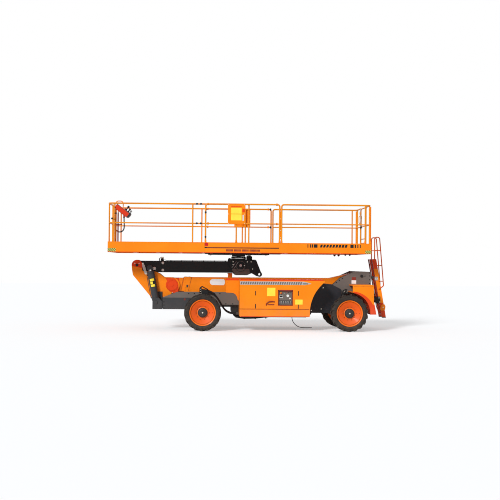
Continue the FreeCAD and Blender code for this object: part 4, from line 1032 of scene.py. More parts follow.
# ---------------------------------------- hoods
@dataclass(frozen=True)
class Hood:
    """Stripe, plates, latches and trims of one side hood."""

    side: Side
    face: float = 1.15
    stripe_z: Pair = (1.2, 1.288)
    stripe_bars: int = 27
    stripe_step: float = 0.059
    slots_x: Pair = (0.129, 1.231)
    slots_z: Pair = (0.65, 0.985)
    window: Limits = (0.719, 1.077, 0.68, 1.06)

    @property
    def body(self) -> str:
        """The hood's body."""
        return "hood_" + self.side.label

    @property
    def panel_y(self) -> float:
        """Y of the hood's upright face."""
        return self.side.value * self.face

    def build(self) -> None:
        """Build the hood's pieces."""
        self.build_stripe()
        self.build_latches()
        self.build_handle()
        if self.side is Side.NEAR:
            self.build_window()
        else:
            self.build_louvres()

    def build_stripe(self) -> None:
        """The plain stripe with its tapering tail, and the small plates."""
        z0, z1 = self.stripe_z
        side, y = self.side, self.face - 0.0005
        stripe = Blank("stripe", self.side)
        ring = [(-0.272, z0), (1.4, z0), (1.56, z0 + 0.03), (1.56, z0 + 0.044), (1.36, z1), (-0.272, z1)]
        stripe.prism(side.outline(y, ring), side.way * (PROUD + 0.0005), PALE_GREY)
        for i in range(self.stripe_bars):
            x = -0.262 + self.stripe_step * i
            ring = [(x, z0 + 0.01), (x + 0.034, z0 + 0.01), (x + 0.052, z1 - 0.01), (x + 0.018, z1 - 0.01)]
            stripe.prism(side.outline(y, ring), side.way * (PROUD * 1.7), GREY)
        stripe.panel((1.35, 1.48), (z0 + 0.02, z0 + 0.042), self.panel_y, BLACK, PROUD * 1.7)
        stripe.done(self.body, 0.0004)
        plates = Blank("hood_plates", self.side)
        plates.panel((0.423, 0.636), (0.912, 1.126), self.panel_y, YELLOW)
        plates.panel((1.149, 1.342), (0.698, 0.826), self.panel_y, YELLOW)
        plates.done(self.body, 0.0005)

    def build_latches(self) -> None:
        """A recessed turn latch in each slot, and its keeper rim."""
        way = self.side.value
        latches = Blank("latches", self.side)
        for x in self.slots_x:
            for z in self.slots_z:
                deep = self.panel_y - way * 0.012
                latches.panel((x - 0.011, x + 0.011), (z - 0.06, z + 0.06), deep, PLASTIC, 0.004)
                centre = Vector((x, deep + way * 0.003, z - 0.022))
                latches.disc(centre, self.side.way, 0.0085, 0.009, PLASTIC, 16)
                latches.panel((x - 0.005, x + 0.005), (z - 0.015, z + 0.05), deep + way * 0.004, PLASTIC, 0.008)
        latches.done(self.body, 0.001)

    def build_handle(self) -> None:
        """A flat red bow handle on two feet."""
        y = self.panel_y
        way = self.side.value
        bow = [[(0.405, y, 0.68), (0.412, y + way * 0.022, 0.725), (0.47, y + way * 0.026, 0.768),
            (0.56, y + way * 0.024, 0.776), (0.612, y, 0.762)]]
        pipe("handle_" + self.side.label, bow, self.body, BROWN, 0.013, 0.03, 14)
        feet = Blank("handle_feet", self.side)
        feet.panel((0.44, 0.612), (0.678, 0.704), y, BROWN, 0.004)
        feet.disc((0.405, y, 0.68), self.side.way, 0.017, 0.004, BROWN, 20)
        feet.disc((0.612, y, 0.762), self.side.way, 0.017, 0.004, BROWN, 20)
        feet.done(self.body)

    def build_window(self) -> None:
        """The dark rim round the ground control window, painted shade for the window's recess."""
        x0, x1, z0, z1 = self.window
        rim = Blank("window_rim")
        for x, z in (((x0 - 0.014, x1 + 0.014), (z1 - 0.022, z1 + 0.014)),
                ((x0 - 0.014, x1 + 0.014), (z0 - 0.014, z0 + 0.001)), ((x0 - 0.014, x0 + 0.001), (z0, z1)),
                ((x1 - 0.001, x1 + 0.014), (z0, z1))):
            rim.panel(x, z, self.panel_y, BROWN, 0.004)
        rim.done(self.body, 0.001)

    def build_louvres(self) -> None:
        """The cooling grille: a frame and a row of leaning slats on a dark back."""
        y = self.panel_y
        back = Blank("grille_frame")
        back.panel((0.72, 1.08), (0.7, 1.1), y, PLASTIC, 0.002)
        for x, z in (((0.7, 1.1), (1.1, 1.12)), ((0.7, 1.1), (0.68, 0.7)), ((0.7, 0.72), (0.7, 1.1)),
                ((1.08, 1.1), (0.7, 1.1))):
            back.panel(x, z, y, ORANGE, 0.016)
        back.done(self.body, 0.002)
        seed = points_mesh([((0.9, y + 0.008, 0.72), (0, 1, 0))])
        slats().grow("grille_slats", seed, self.body, ORANGE, Length=0.356, Depth=0.018, Thick=0.003, Lean=-0.7,
            Step_Z=0.024, Count=16)


@dataclass(frozen=True)
class Machinery:
    """Engine, tank and ground controls under the hoods."""

    engine: tuple[Point, Point] = ((0.15, 0.6, 0.578), (1.15, 1.05, 1.18))
    tank: tuple[Point, Point] = ((-0.15, -1.05, 0.578), (0.56, -0.6, 1.12))
    panel_y: float = -1.105

    def build(self) -> None:
        """Build what the hoods cover."""
        self.build_engine()
        self.build_tank()
        self.build_controls()

    def build_engine(self) -> None:
        """Head cover, filters, manifold, fan shroud and pulleys on the engine."""
        (x0, y0, z0), (x1, y1, z1) = self.engine
        block = Blank("engine_parts")
        block.box((x0 + 0.1, y0 + 0.08, z1 - 0.002), (x1 - 0.28, y1 - 0.12, z1 + 0.055), IRON)
        block.box((x0 + 0.06, y1 - 0.002, z0 + 0.06), (x1 - 0.3, y1 + 0.022, z0 + 0.2), SLATE)
        block.lathe([(0, 0), (0.05, 0), (0.05, 0.15), (0.044, 0.165), (0, 0.165)],
            (x0 + 0.2, y1 + 0.03, z0 + 0.24), UP, ORANGE, 28)
        block.lathe([(0, 0), (0.042, 0), (0.042, 0.12), (0.036, 0.132), (0, 0.132)],
            (x0 + 0.34, y1 + 0.024, z0 + 0.26), UP, PALE, 28)
        block.lathe([(0, 0), (0.105, 0), (0.105, 0.02), (0.09, 0.026), (0, 0.026)],
            (x1 - 0.12, y1 - 0.004, z0 + 0.3), (0, 1, 0), BLACK, 36)
        block.lathe([(0, 0), (0.055, 0), (0.055, 0.02), (0, 0.02)], (x1 - 0.13, y1 - 0.004, z0 + 0.47),
            (0, 1, 0), ZINC, 30)
        block.done("chassis", 0.004)
        belt = [[(x1 - 0.225, y1 + 0.012, z0 + 0.3), (x1 - 0.185, y1 + 0.012, z0 + 0.47),
            (x1 - 0.13, y1 + 0.012, z0 + 0.527), (x1 - 0.075, y1 + 0.012, z0 + 0.47),
            (x1 - 0.015, y1 + 0.012, z0 + 0.3)]]
        pipe("fan_belt", belt, "chassis", CABLE, 0.006, 0.04, 8)
        lines = [[(x0 + 0.2, y1 + 0.02, z0 + 0.41), (x0 + 0.2, y1 + 0.03, z0 + 0.52),
            (x0 + 0.32, y1 + 0.03, z0 + 0.56), (x0 + 0.5, y1 - 0.01, z0 + 0.56)],
            [(x0 + 0.34, y1 + 0.02, z0 + 0.39), (x0 + 0.4, y1 + 0.03, z0 + 0.46),
            (x0 + 0.56, y1 + 0.02, z0 + 0.48), (x0 + 0.62, y1 - 0.02, z0 + 0.48)]]
        pipe("engine_hoses", lines, "chassis", CABLE, 0.01, 0.04, 12)
        places = [((x, y1, z0 + 0.235), (0, 1, 0)) for x in (x0 + 0.5, x0 + 0.6, x0 + 0.7)]
        places += [(Vector((x0 + 0.13 + 0.09 * i, y1 - 0.15, z1 + 0.055)), UP) for i in range(6)]
        bolt("engine_bolts", places, "chassis", ZINC, 0.01, 0.008)
        fins = points_mesh([(((x0 + x1) / 2 - 0.08, y1 + 0.004, z0 + 0.34), (0, 1, 0))])
        slats().grow("cooling_fins", fins, "chassis", IRON, 0.001, Length=0.34, Depth=0.014, Thick=0.006,
            Step_Z=0.02, Count=10)

    def build_tank(self) -> None:
        """Seams, filler, sight gauge and lines on the tank."""
        (x0, y0, z0), (x1, y1, z1) = self.tank
        tank = Blank("tank_parts")
        for z in (z0 + 0.03, z1 - 0.05):
            tank.panel((x0 - 0.004, x1 + 0.004), (z, z + 0.016), y0, ORANGE, 0.006)
        tank.disc((x0 + 0.16, (y0 + y1) / 2, z1), UP, 0.052, 0.03, PLASTIC, 32)
        tank.lathe([(0, 0.03), (0.04, 0.03), (0.04, 0.052), (0.034, 0.058), (0, 0.058)],
            (x0 + 0.16, (y0 + y1) / 2, z1), UP, PLASTIC, 12)
        tank.panel((x1 - 0.11, x1 - 0.07), (z0 + 0.14, z0 + 0.4), y0, PLASTIC, 0.01)
        tank.panel((x1 - 0.097, x1 - 0.083), (z0 + 0.16, z0 + 0.38), y0, PALE, 0.013)
        tank.done("chassis", 0.002)
        lines = [[(x0 + 0.08 + 0.05 * i, y0 + 0.06, z1 - 0.002), (x0 + 0.08 + 0.05 * i, y0 + 0.06, z1 + 0.05),
            (x0 + 0.36 + 0.03 * i, y0 + 0.08, z1 + 0.055), (x0 + 0.6, y0 + 0.1 + 0.03 * i, z1 + 0.03)]
            for i in range(2)]
        pipe("tank_hoses", lines, "chassis", CABLE, 0.011, 0.04, 12)

    def build_controls(self) -> None:
        """Face plate, gauges, buttons, toggles and key of the ground controls."""
        y = self.panel_y
        out = Vector((0, -1.0, 0))
        face = Blank("control_face")
        face.panel((0.727, 1.069), (0.69, 1.05), y, GREY, 0.002)
        face.panel((0.745, 0.835), (0.862, 0.925), y - 0.002, PALE, 0.0015)
        face.panel((0.752, 0.828), (0.88, 0.918), y - 0.003, BLACK, 0.002)
        face.panel((0.74, 1.055), (0.722, 0.8), y - 0.002, SLATE, 0.001)
        for (x, z), radius in (((0.962, 0.921), 0.036), ((1.018, 0.853), 0.024)):
            face.lathe([(0, 0), (radius, 0), (radius, 0.01), (radius * 0.86, 0.013), (radius * 0.84, 0.007),
                (0, 0.007)], (x, y - 0.002, z), out, ZINC, 32)
            face.disc((x, y - 0.0085, z), out, radius * 0.83, 0.0012, WHITE, 32)
            face.box((x - 0.0012, y - 0.011, z), (x + 0.0012, y - 0.01, z + radius * 0.62), BLACK)
        face.disc((0.785, y - 0.002, 0.99), out, 0.027, 0.006, YELLOW, 28)
        face.lathe([(0, 0), (0.01, 0), (0.01, 0.016), (0.02, 0.02), (0.021, 0.028), (0.014, 0.034), (0, 0.035)],
            (0.785, y - 0.006, 0.99), out, RED, 28)
        face.disc((0.872, y - 0.002, 0.99), out, 0.015, 0.01, ZINC, 24)
        face.box((0.8705, y - 0.03, 0.978), (0.8735, y - 0.01, 1.002), BLACK)
        for i in range(3):
            face.disc((0.935 + 0.042 * i, y - 0.002, 1.006), out, 0.008, 0.006, RED if i == 0 else BLACK, 18)
        face.done("chassis", 0.0006)
        toggles = Blank("control_toggles")
        for i in range(7):
            x = 0.762 + 0.045 * i
            toggles.disc((x, y - 0.003, 0.768), out, 0.009, 0.004, ZINC, 6)
            toggles.lathe([(0, 0), (0.0026, 0), (0.0042, 0.024), (0, 0.027)], (x, y - 0.006, 0.768),
                (0, -1.0, 0.35 if i % 3 else -0.35), ZINC, 12)
            toggles.panel((x - 0.012, x + 0.012), (0.732, 0.742), y - 0.003, WHITE, 0.001)
        toggles.done("chassis")


# ---------------------------------------- end pieces and ladder
@dataclass(frozen=True)
class EndPieces:
    """Arch lips, fender bolts, ladder grips and brackets."""

    arch_centre: Pair = (2.56, 0.475)
    arch_radius: float = 0.545
    cover_face: float = 1.15
    ladder_top: Pair = (3.34, 1.89)
    ladder_foot: Pair = (3.61, 0.325)

    def ladder_x(self, z: float) -> float:
        """X of the ladder's centre line at a height."""
        (xt, zt), (xf, zf) = self.ladder_top, self.ladder_foot
        return xt + (zt - z) / (zt - zf) * (xf - xt)

    def build(self) -> None:
        """Build the pieces at the ladder end."""
        for side in Side:
            self.build_arch(side)
            self.build_fender(side)
            self.build_stringer(side)
        self.build_rungs()

    def arch_point(self, radius: float, degrees: float, y: float) -> Point:
        """The point on a circle round the arch's centre, at an angle up from level."""
        angle = math.radians(degrees)
        x, z = self.arch_centre
        return (x + radius * math.cos(angle), y, z + radius * math.sin(angle))

    def build_arch(self, side: Side) -> None:
        """The rolled lip that follows the wheel arch of an end cover, with a liner and a band round the arch;
        lip, liner and band are red orange as painted shade.
        """
        y = side.value * (self.cover_face - 0.004)
        points = [self.arch_point(self.arch_radius + 0.004, 79.5 - 81.0 * i / 18, y) for i in range(19)]
        # Lip, liner and band are red orange as painted shade round the arch.
        pipe("arch_lip_" + side.label, [points], "chassis", RED_ORANGE, 0.011, 0.001, 10)
        liner = Blank("arch_liner", side)
        ring = []
        for radius, sweep in ((self.arch_radius + 0.0005, range(25)),
                (self.arch_radius - 0.002, range(24, -1, -1))):
            ring += [self.arch_point(radius, 81.0 - 83.4 * i / 24, side.value * 0.458) for i in sweep]
        liner.prism(ring, side.way * (self.cover_face - 0.46), RED_ORANGE)
        liner.done("chassis")
        band = Blank("arch_band", side)
        y = side.value * (self.cover_face - 0.0005)
        steps = 20
        for i in range(steps):
            ring = []
            for turn, outer in ((i, False), (i, True), (i + 1, True), (i + 1, False)):
                share = turn / steps
                radius = self.arch_radius + (0.03 + 0.095 * share if outer else 0.002)
                ring.append(self.arch_point(radius, 80.0 - 80.0 * share, y))
            band.prism(ring, side.way * 0.002, RED_ORANGE)
        band.done("chassis")
        seams = Blank("cover_seams", side)
        seams.panel((3.02, 3.222), (0.6, 0.606), side.value * self.cover_face, BROWN, 0.0012)
        seams.panel((2.66, 3.175), (1.165, 1.171), side.value * self.cover_face, BROWN, 0.0012)
        seams.done("chassis")
        spots = ((2.69, 1.19), (2.92, 1.19), (3.15, 1.19), (3.15, 0.9), (3.165, 0.72))
        bolt("cover_bolts_" + side.label, side.spots(self.cover_face, spots), "chassis", ORANGE, 0.009, 0.006)

    def build_fender(self, side: Side) -> None:
        """Bolts and a stiffening swage on an inner fender."""
        swage = [side.outline(0.485, ((1.575, 0.62), (1.575, 1.06), (1.8, 1.215), (2.12, 1.19)))]
        pipe("fender_swage_" + side.label, swage, "chassis", FENDER, 0.007, 0.08, 10)
        places = side.spots(0.485, ((1.64, 0.52), (1.9, 0.56), (1.64, 0.92), (1.95, 1.12)))
        bolt("fender_bolts_" + side.label, places, "chassis", ZINC, 0.011, 0.008)

    def build_stringer(self, side: Side) -> None:
        """Clamps, foot and the dark step bracket on a ladder stringer."""
        way = side.value
        plates = Blank("ladder_brackets", side)
        for z, shift, width, height, finish in ((1.372, -0.03, 0.09, 0.095, PALE_GREY),
                (0.8, -0.085, 0.13, 0.18, BLACK)):
            x = self.ladder_x(z) + shift
            plates.box((x - width / 2, way * 0.2495, z - height / 2),
                (x + width / 2, way * 0.262, z + height / 2), finish)
        bump = [(3.505, 0.56), (3.525, 0.655), (3.575, 0.69), (3.63, 0.68), (3.65, 0.625), (3.64, 0.545),
            (3.59, 0.515), (3.53, 0.52)]
        plates.prism(side.outline(0.2495, bump), side.way * 0.0135, ORANGE)
        # A dark red flange along the stringer's edge towards the machine: painted shade.
        flange = [(self.ladder_x(z) - back, z) for z, back in ((1.885, 0.06), (1.885, 0.095), (0.62, 0.085),
            (0.48, 0.06))]
        plates.prism(side.outline(0.2355, flange), side.way * 0.01, BROWN)
        foot_x = self.ladder_x(0.34)
        plates.box((foot_x - 0.052, way * 0.222, 0.326), (foot_x + 0.05, way * 0.256, 0.346), CABLE)
        plates.done("chassis", 0.003)
        spots = [(self.ladder_x(1.372) - 0.03 + dx, 1.372) for dx in (-0.026, 0.026)]
        spots += [(self.ladder_x(z) - 0.045, z) for z in (0.745, 0.855)]
        places = side.spots(0.262, spots) + side.spots(0.263, [(3.585, 0.605)])
        bolt("ladder_bolts_" + side.label, places, "chassis", ZINC, 0.01, 0.008)

    def build_rungs(self) -> None:
        """Ribbed grips on the rungs."""
        grips = Blank("rung_grips")
        for i in range(6):
            z = 0.415 + (1.76 - 0.415) * i / 5
            x = self.ladder_x(z)
            grips.box((x - 0.034, -0.2, z + 0.0145), (x + 0.034, 0.2, z + 0.0175), PLASTIC)
            for step in (-0.024, -0.012, 0, 0.012, 0.024):
                grips.box((x + step - 0.002, -0.198, z + 0.017), (x + step + 0.002, 0.198, z + 0.0205), PLASTIC)
        grips.done("chassis")


# ---------------------------------------- riser, gooseneck and boom
@dataclass(frozen=True)
class Riser:
    """Badge place, collar parts and hose tray of the riser."""

    face: float = 0.175
    badge: Limits = (-1.046, -0.623, 1.146, 1.346)
    collar: Pair = (-1.735, -1.548)
    z: Pair = (0.977, 1.372)

    def build(self) -> None:
        """Build the riser's pieces."""
        x0, x1, z0, z1 = self.badge
        badge = Blank("riser_badge")
        middle, half = (z0 + z1) / 2, (z1 - z0) / 2 - 0.018
        y = -self.face + 0.0005
        ring = [(x1 - 0.02 - half * 0.55 * (1 - math.cos(a)), y, middle + half * math.sin(a))
            for a in [math.radians(-90 + 15 * i) for i in range(13)]]
        ring += [(x0 + 0.09 - 0.09 * math.sin(a), y, middle + half * math.cos(a))
            for a in [math.radians(15 * i) for i in range(1, 12)]]
        badge.prism(ring, (0, -PROUD - 0.0005, 0), WHITE)
        badge.done("riser", 0.0004)
        self.build_collar()
        self.build_tray()
        self.build_pivot()

    def build_collar(self) -> None:
        """Inspection hole cover, wear pad screws and weld bead of the collar."""
        x0, x1 = self.collar
        z0, z1 = self.z
        face = self.face + 0.006
        for side in Side:
            y = side.value * face
            cover = Blank("collar_cover", side)
            cover.panel((x0 + 0.07, x0 + 0.118), (1.1, 1.168), y, PLASTIC, 0.004)
            cover.panel((x0 + 0.078, x0 + 0.11), (1.112, 1.156), y, SLATE, 0.006)
            for low, high in ((-1.83, -1.744), (-1.62, -1.535)):
                ring = [(low, z0 + 0.02), (low + 0.009, z0 + 0.02), (high + 0.009, z1 - 0.004),
                    (high, z1 - 0.004)]
                cover.prism(side.outline(face, ring), side.way * PROUD, BROWN)
            cover.done("riser", 0.002)
            spots = [(x, z) for x in (x0 + 0.035, x1 - 0.035) for z in (z0 + 0.05, z0 + 0.13, z1 - 0.13,
                z1 - 0.05)]
            bolt("pad_screws_" + side.label, side.spots(face, spots), "riser", ORANGE, 0.011, 0.007)
        places = [((x, y, z1 + 0.006), UP) for x in (x0 + 0.05, x1 - 0.05) for y in (-0.1, 0.1)]
        bolt("pad_screws_top", places, "riser", ZINC, 0.012, 0.009)

    def build_tray(self) -> None:
        """The hose tray along the far side, with its clips and hoses."""
        tray = Blank("hose_tray")
        y0, y1 = self.face - 0.001, self.face + 0.055
        tray.box((-1.4, y0, 1.15), (2.0, y1, 1.156), BLACK)
        tray.box((-1.4, y1 - 0.005, 1.15), (2.0, y1, 1.195), BLACK)
        for i in range(9):
            x = -1.3 + 0.4 * i
            tray.box((x, y0, 1.196), (x + 0.03, y1 - 0.002, 1.2), BLACK)
        tray.done("riser", 0.001)
        lines = [[(-1.44, y, 1.171), (2.05, y, 1.171)] for y in (y0 + 0.013, y0 + 0.031)]
        lines += [[(-1.44, y, 1.188), (2.05, y, 1.188)] for y in (y0 + 0.022, y0 + 0.04)]
        pipe("riser_hoses", lines, "riser", CABLE, 0.0078, 0.01, 10)
        ends = [((x, line[0][1], line[0][2]), (way, 0, 0)) for line in lines
            for x, way in ((-1.44, -1), (2.05, 1))]
        bolt("riser_hose_ends", ends, "riser", ZINC, 0.0075, 0.016)

    def build_pivot(self) -> None:
        """Grease cups on the pivot boss and the lugs' pin heads below."""
        bolt("pivot_grease_cup", [((2.97 - 0.05, 0, 1.438 + 0.105), UP)], "riser", ZINC, 0.01, 0.014)
        heads = Blank("riser_eye_heads")
        for side in Side:
            heads.disc((0.7, side.value * 0.0955, 0.88), side.way, 0.04, 0.008, ZINC, 28)
        heads.done("riser", 0.001)


@dataclass(frozen=True)
class Gooseneck:
    """Pin caps, keepers, slender rods and bolts of the gooseneck."""

    face: float = 0.205
    trunnion: Pair = (-2.046, 1.16)
    boom_pivot: Pair = (-2.979, 1.682)
    rod: tuple[Pair, Pair] = ((-2.825, 1.725), (-2.735, 1.45))

    def build(self) -> None:
        """Build the gooseneck's pieces on both sides."""
        for side in Side:
            self.build_pins(side)
            self.build_rod(side)
            self.build_feet(side)

    def build_pins(self, side: Side) -> None:
        """The trunnion's cover disc, and the boom pin's cap and keeper. The sheets beside the trunnion, its
        cover disc and bolts, and the keeper are red orange as painted shade.
        """
        tx, tz = self.trunnion
        px, pz = self.boom_pivot
        wedge = Blank("gooseneck_wedge", side)
        above = ((-2.225, 1.345), (-1.985, 1.338), (-1.93, 1.285), (tx, tz), (-2.15, 1.215))
        below = ((-2.17, 1.08), (-2.115, 0.995), (-1.985, 0.935), (-1.88, 0.97), (-1.872, 1.12), (tx, tz))
        # Red orange sheets beside the trunnion: painted shade in the recess.
        for ring in (above, below):
            wedge.prism(side.outline(self.face - 0.0005, ring), side.way * 0.0017, RED_ORANGE)
        wedge.done("gooseneck")
        # The cover disc and its bolts are red orange as painted shade in the recess.
        disc = Blank("trunnion_cover", side)
        start = side.at(tx, 0.2075, tz)
        disc.lathe([(0, 0), (0.158, 0), (0.154, 0.006), (0.12, 0.007), (0.116, 0.003), (0, 0.003)], start,
            side.way, RED_ORANGE, 56)
        disc.disc(start + side.way * 0.0025, side.way, 0.034, 0.01, RED_ORANGE, 28)
        disc.done("riser_fly", 0.001)
        places = ring_places(start + side.way * 0.0065, side.way, 0.137, 12)
        bolt("trunnion_bolts_" + side.label, places, "riser_fly", RED_ORANGE, 0.009, 0.007)
        cap = Blank("boom_pin_cap", side)
        centre = side.at(px, 0.2165, pz)
        cap.disc(centre, side.way, 0.038, 0.006, IRON, 28)
        low, high = (px - 0.075, side.value * 0.2045, pz + 0.036), (px + 0.075, side.value * 0.214, pz + 0.058)
        # The keeper is red orange as painted shade on the gooseneck's top.
        cap.box(low, high, RED_ORANGE)
        cap.done("gooseneck", 0.001)
        places = side.spots(0.214, [(px + dx, pz + 0.047) for dx in (-0.055, 0.055)])
        bolt("boom_pin_bolts_" + side.label, places, "gooseneck", ZINC, 0.009, 0.007)

    def build_rod(self, side: Side) -> None:
        """The pale flat levelling link beside the gooseneck, with its pins."""
        (x0, z0), (x1, z1) = self.rod
        y = side.value * 0.2085
        rod = Blank("slender_rod", side)
        start, end = Vector((x0, y, z0)), Vector((x1, y, z1))
        across = Vector((start.z - end.z, 0, end.x - start.x)).normalized()
        ring = [start - across * 0.016, start + across * 0.016, start.lerp(end, 0.22) + across * 0.034,
            end + across * 0.034, end - across * 0.034, start.lerp(end, 0.22) - across * 0.034]
        rod.prism(ring, side.way * 0.012, PALE)
        for point in (start, end):
            rod.lathe([(0, -0.004), (0.019, -0.004), (0.019, 0.016), (0, 0.016)], point, side.way, ZINC, 24)
        rod.done("gooseneck", 0.001)

    def build_feet(self, side: Side) -> None:
        """Edge bolts along the gooseneck and the pin heads of the cylinder's foot."""
        places = side.spots(0.452, ((-2.52, 0.612), (-2.33, 0.612)))
        places += side.spots(0.2245, ((-2.52, 0.93), (-2.33, 0.93), (-2.33, 0.8)))
        bolt("foot_bolts_" + side.label, places, "gooseneck", SLATE, 0.012, 0.008)
        head = Blank("foot_pin_head", side)
        head.disc((-2.458, side.value * 0.4635, 0.71), side.way, 0.044, 0.009, SLATE, 30)
        head.done("gooseneck", 0.001)


@dataclass(frozen=True)
class UpperBoom:
    """Wear pad covers, pin heads and hose lines of the upper boom. The pale pads and the white pin head are a
    painted highlight for bright zinc.
    """

    face: float = 0.15
    pads: tuple[Pair, ...] = ((-2.297, 1.743), (-2.297, 1.554))
    pin: Pair = (-2.522, 1.595)
    top: float = 1.8

    def build(self) -> None:
        """Build the upper boom's pieces."""
        for side in Side:
            y = side.value * self.face
            spots = Blank("boom_pads", side)
            for x, z in self.pads:
                # Pale and white discs: painted highlight for the shine of zinc.
                spots.disc((x, y, z), side.way, 0.036, 0.006, PALE, 28)
                spots.disc((x, y + side.value * 0.005, z), side.way, 0.014, 0.007, ZINC, 20)
            x, z = self.pin
            spots.disc((x, y, z), side.way, 0.044, 0.01, WHITE, 28)
            spots.disc((x, y + side.value * 0.009, z), side.way, 0.012, 0.006, ZINC, 16)
            spots.done("boom", 0.001)
        lines = []
        for y in (-0.075, -0.055, -0.035, 0.055):
            lines.append([(-2.26, y, self.top + 0.03), (-2.2, y, self.top + 0.011),
                (-0.62, y, self.top + 0.011), (-0.54, y, self.top + 0.011)])
        pipe("boom_lines", lines, "boom", BLACK, 0.0065, 0.04, 10)
        clips = Blank("boom_line_clips")
        for i in range(6):
            x = -2.1 + 0.29 * i
            clips.box((x, -0.086, self.top - 0.001), (x + 0.022, -0.024, self.top + 0.02), PLASTIC)
            clips.box((x, 0.044, self.top - 0.001), (x + 0.022, 0.066, self.top + 0.02), PLASTIC)
        clips.done("boom", 0.001)
        self.build_bracket()

    def build_bracket(self) -> None:
        """Manifold and elbows on the bracket over the boom's root."""
        block = Blank("boom_manifold")
        block.box((-2.352, -0.055, self.top + 0.066), (-2.28, 0.055, self.top + 0.098), ZINC)
        block.done("boom", 0.002)
        places = [((x, y, self.top + 0.098), UP) for x in (-2.335, -2.298) for y in (-0.035, 0, 0.035)]
        bolt("manifold_plugs", places, "boom", ZINC, 0.009, 0.01)
        hose = [[(-2.35, y, self.top + 0.082), (-2.382, y, self.top + 0.08), (-2.395, y, self.top + 0.045),
            (-2.397, y, self.top - 0.004)] for y in (-0.03, 0.03)]
        pipe("manifold_hoses", hose, "boom", CABLE, 0.01, 0.06, 12)


@dataclass(frozen=True)
class LiftCylinder:
    """Gland, ports, hard line and blank plate of a boom lift cylinder."""

    side: Side
    foot: Pair = (-2.458, 0.71)
    eye: Pair = (-2.63, 1.608)
    y: float = 0.33
    barrel_radius: float = 0.095
    rod_radius: float = 0.05
    gland: float = 0.824

    @property
    def start(self) -> Vector:
        """The middle of the foot's pin."""
        return self.side.at(self.foot[0], self.y, self.foot[1])

    @property
    def way(self) -> Vector:
        """From the foot to the eye."""
        (x0, z0), (x1, z1) = self.foot, self.eye
        return Vector((x1 - x0, 0, z1 - z0)).normalized()

    def patch(self, blank: Blank, along: Pair, angles: Pair, finish: Finish, proud: float = PROUD) -> None:
        """Add a thin plate that wraps the barrel.

        Args:
            blank: The blank that it joins.
            along: From and to, measured from the foot.
            angles: From and to, in degrees round the barrel from its outer side.
            finish: The plate's finish.
            proud: How far it stands off the barrel.
        """
        out = self.side.way
        across = self.way.cross(out)
        ring = []
        for radius, sweep in ((self.barrel_radius + proud, range(13)),
                (self.barrel_radius - 0.001, range(12, -1, -1))):
            for i in sweep:
                angle = math.radians(angles[0] + (angles[1] - angles[0]) * i / 12)
                ring.append(self.start + self.way * along[0] + (out * math.cos(angle)
                    + across * math.sin(angle)) * radius)
        blank.prism(ring, self.way * (along[1] - along[0]), finish)

    def build(self) -> None:
        """Build the cylinder's pieces."""
        label, start, way = self.side.label, self.start, self.way
        gland = Blank("gland_" + label)
        inner, outer = self.rod_radius + 0.001, self.barrel_radius
        gland.lathe([(outer - 0.001, self.gland - 0.06), (outer + 0.006, self.gland - 0.056),
            (outer + 0.006, self.gland - 0.006), (outer + 0.002, self.gland), (outer - 0.01, self.gland + 0.01),
            (inner, self.gland + 0.01), (inner, self.gland - 0.002), (outer - 0.004, self.gland - 0.002)],
            start, way, SLATE, 48)
        gland.lathe([(outer - 0.001, 0.075), (outer + 0.004, 0.078), (outer + 0.004, 0.108),
            (outer - 0.001, 0.111)], start, way, SLATE, 48)
        gland.done("boom_barrels", 0.001)
        plate = Blank("barrel_plate_" + label)
        self.patch(plate, (0.4, 0.64), (-38.0, 38.0), BLACK)
        for i in range(3):
            low = 0.412 + 0.076 * i
            self.patch(plate, (low, low + 0.064), (-34.0, 6.0 if i == 1 else 34.0), YELLOW, PROUD * 1.6)
        plate.done("boom_barrels")
        back = -self.way.cross(self.side.way).normalized()
        base = start + back * (self.barrel_radius + 0.012)
        line = [[base + way * 0.13 - back * 0.02, base + way * 0.13 + back * 0.008, base + way * 0.2
            + back * 0.008, base + way * 0.66 + back * 0.008, base + way * 0.735 + back * 0.008,
            base + way * 0.735 - back * 0.02]]
        pipe("hard_line_" + label, line, "boom_barrels", SLATE, 0.008, 0.02, 12)
        places = [(base + way * reach - back * 0.014, back) for reach in (0.13, 0.735)]
        bolt("ports_" + label, places, "boom_barrels", SLATE, 0.018, 0.016)
        cap = Blank("rod_eye_cap_" + label)
        middle = self.side.at(self.eye[0], self.y, self.eye[1])
        cap.lathe([(0.0781, -0.0422), (0.0796, -0.0422), (0.0796, 0.0422), (0.0781, 0.0422)], middle,
            self.side.way, SLATE, 48)
        centre = self.side.at(self.eye[0], 0.371, self.eye[1])
        cap.lathe([(0, 0), (0.0795, 0), (0.076, 0.007), (0.046, 0.007), (0.046, 0.012), (0, 0.012)], centre,
            self.side.way, SLATE, 40)
        cap.done("boom_rods", 0.001)


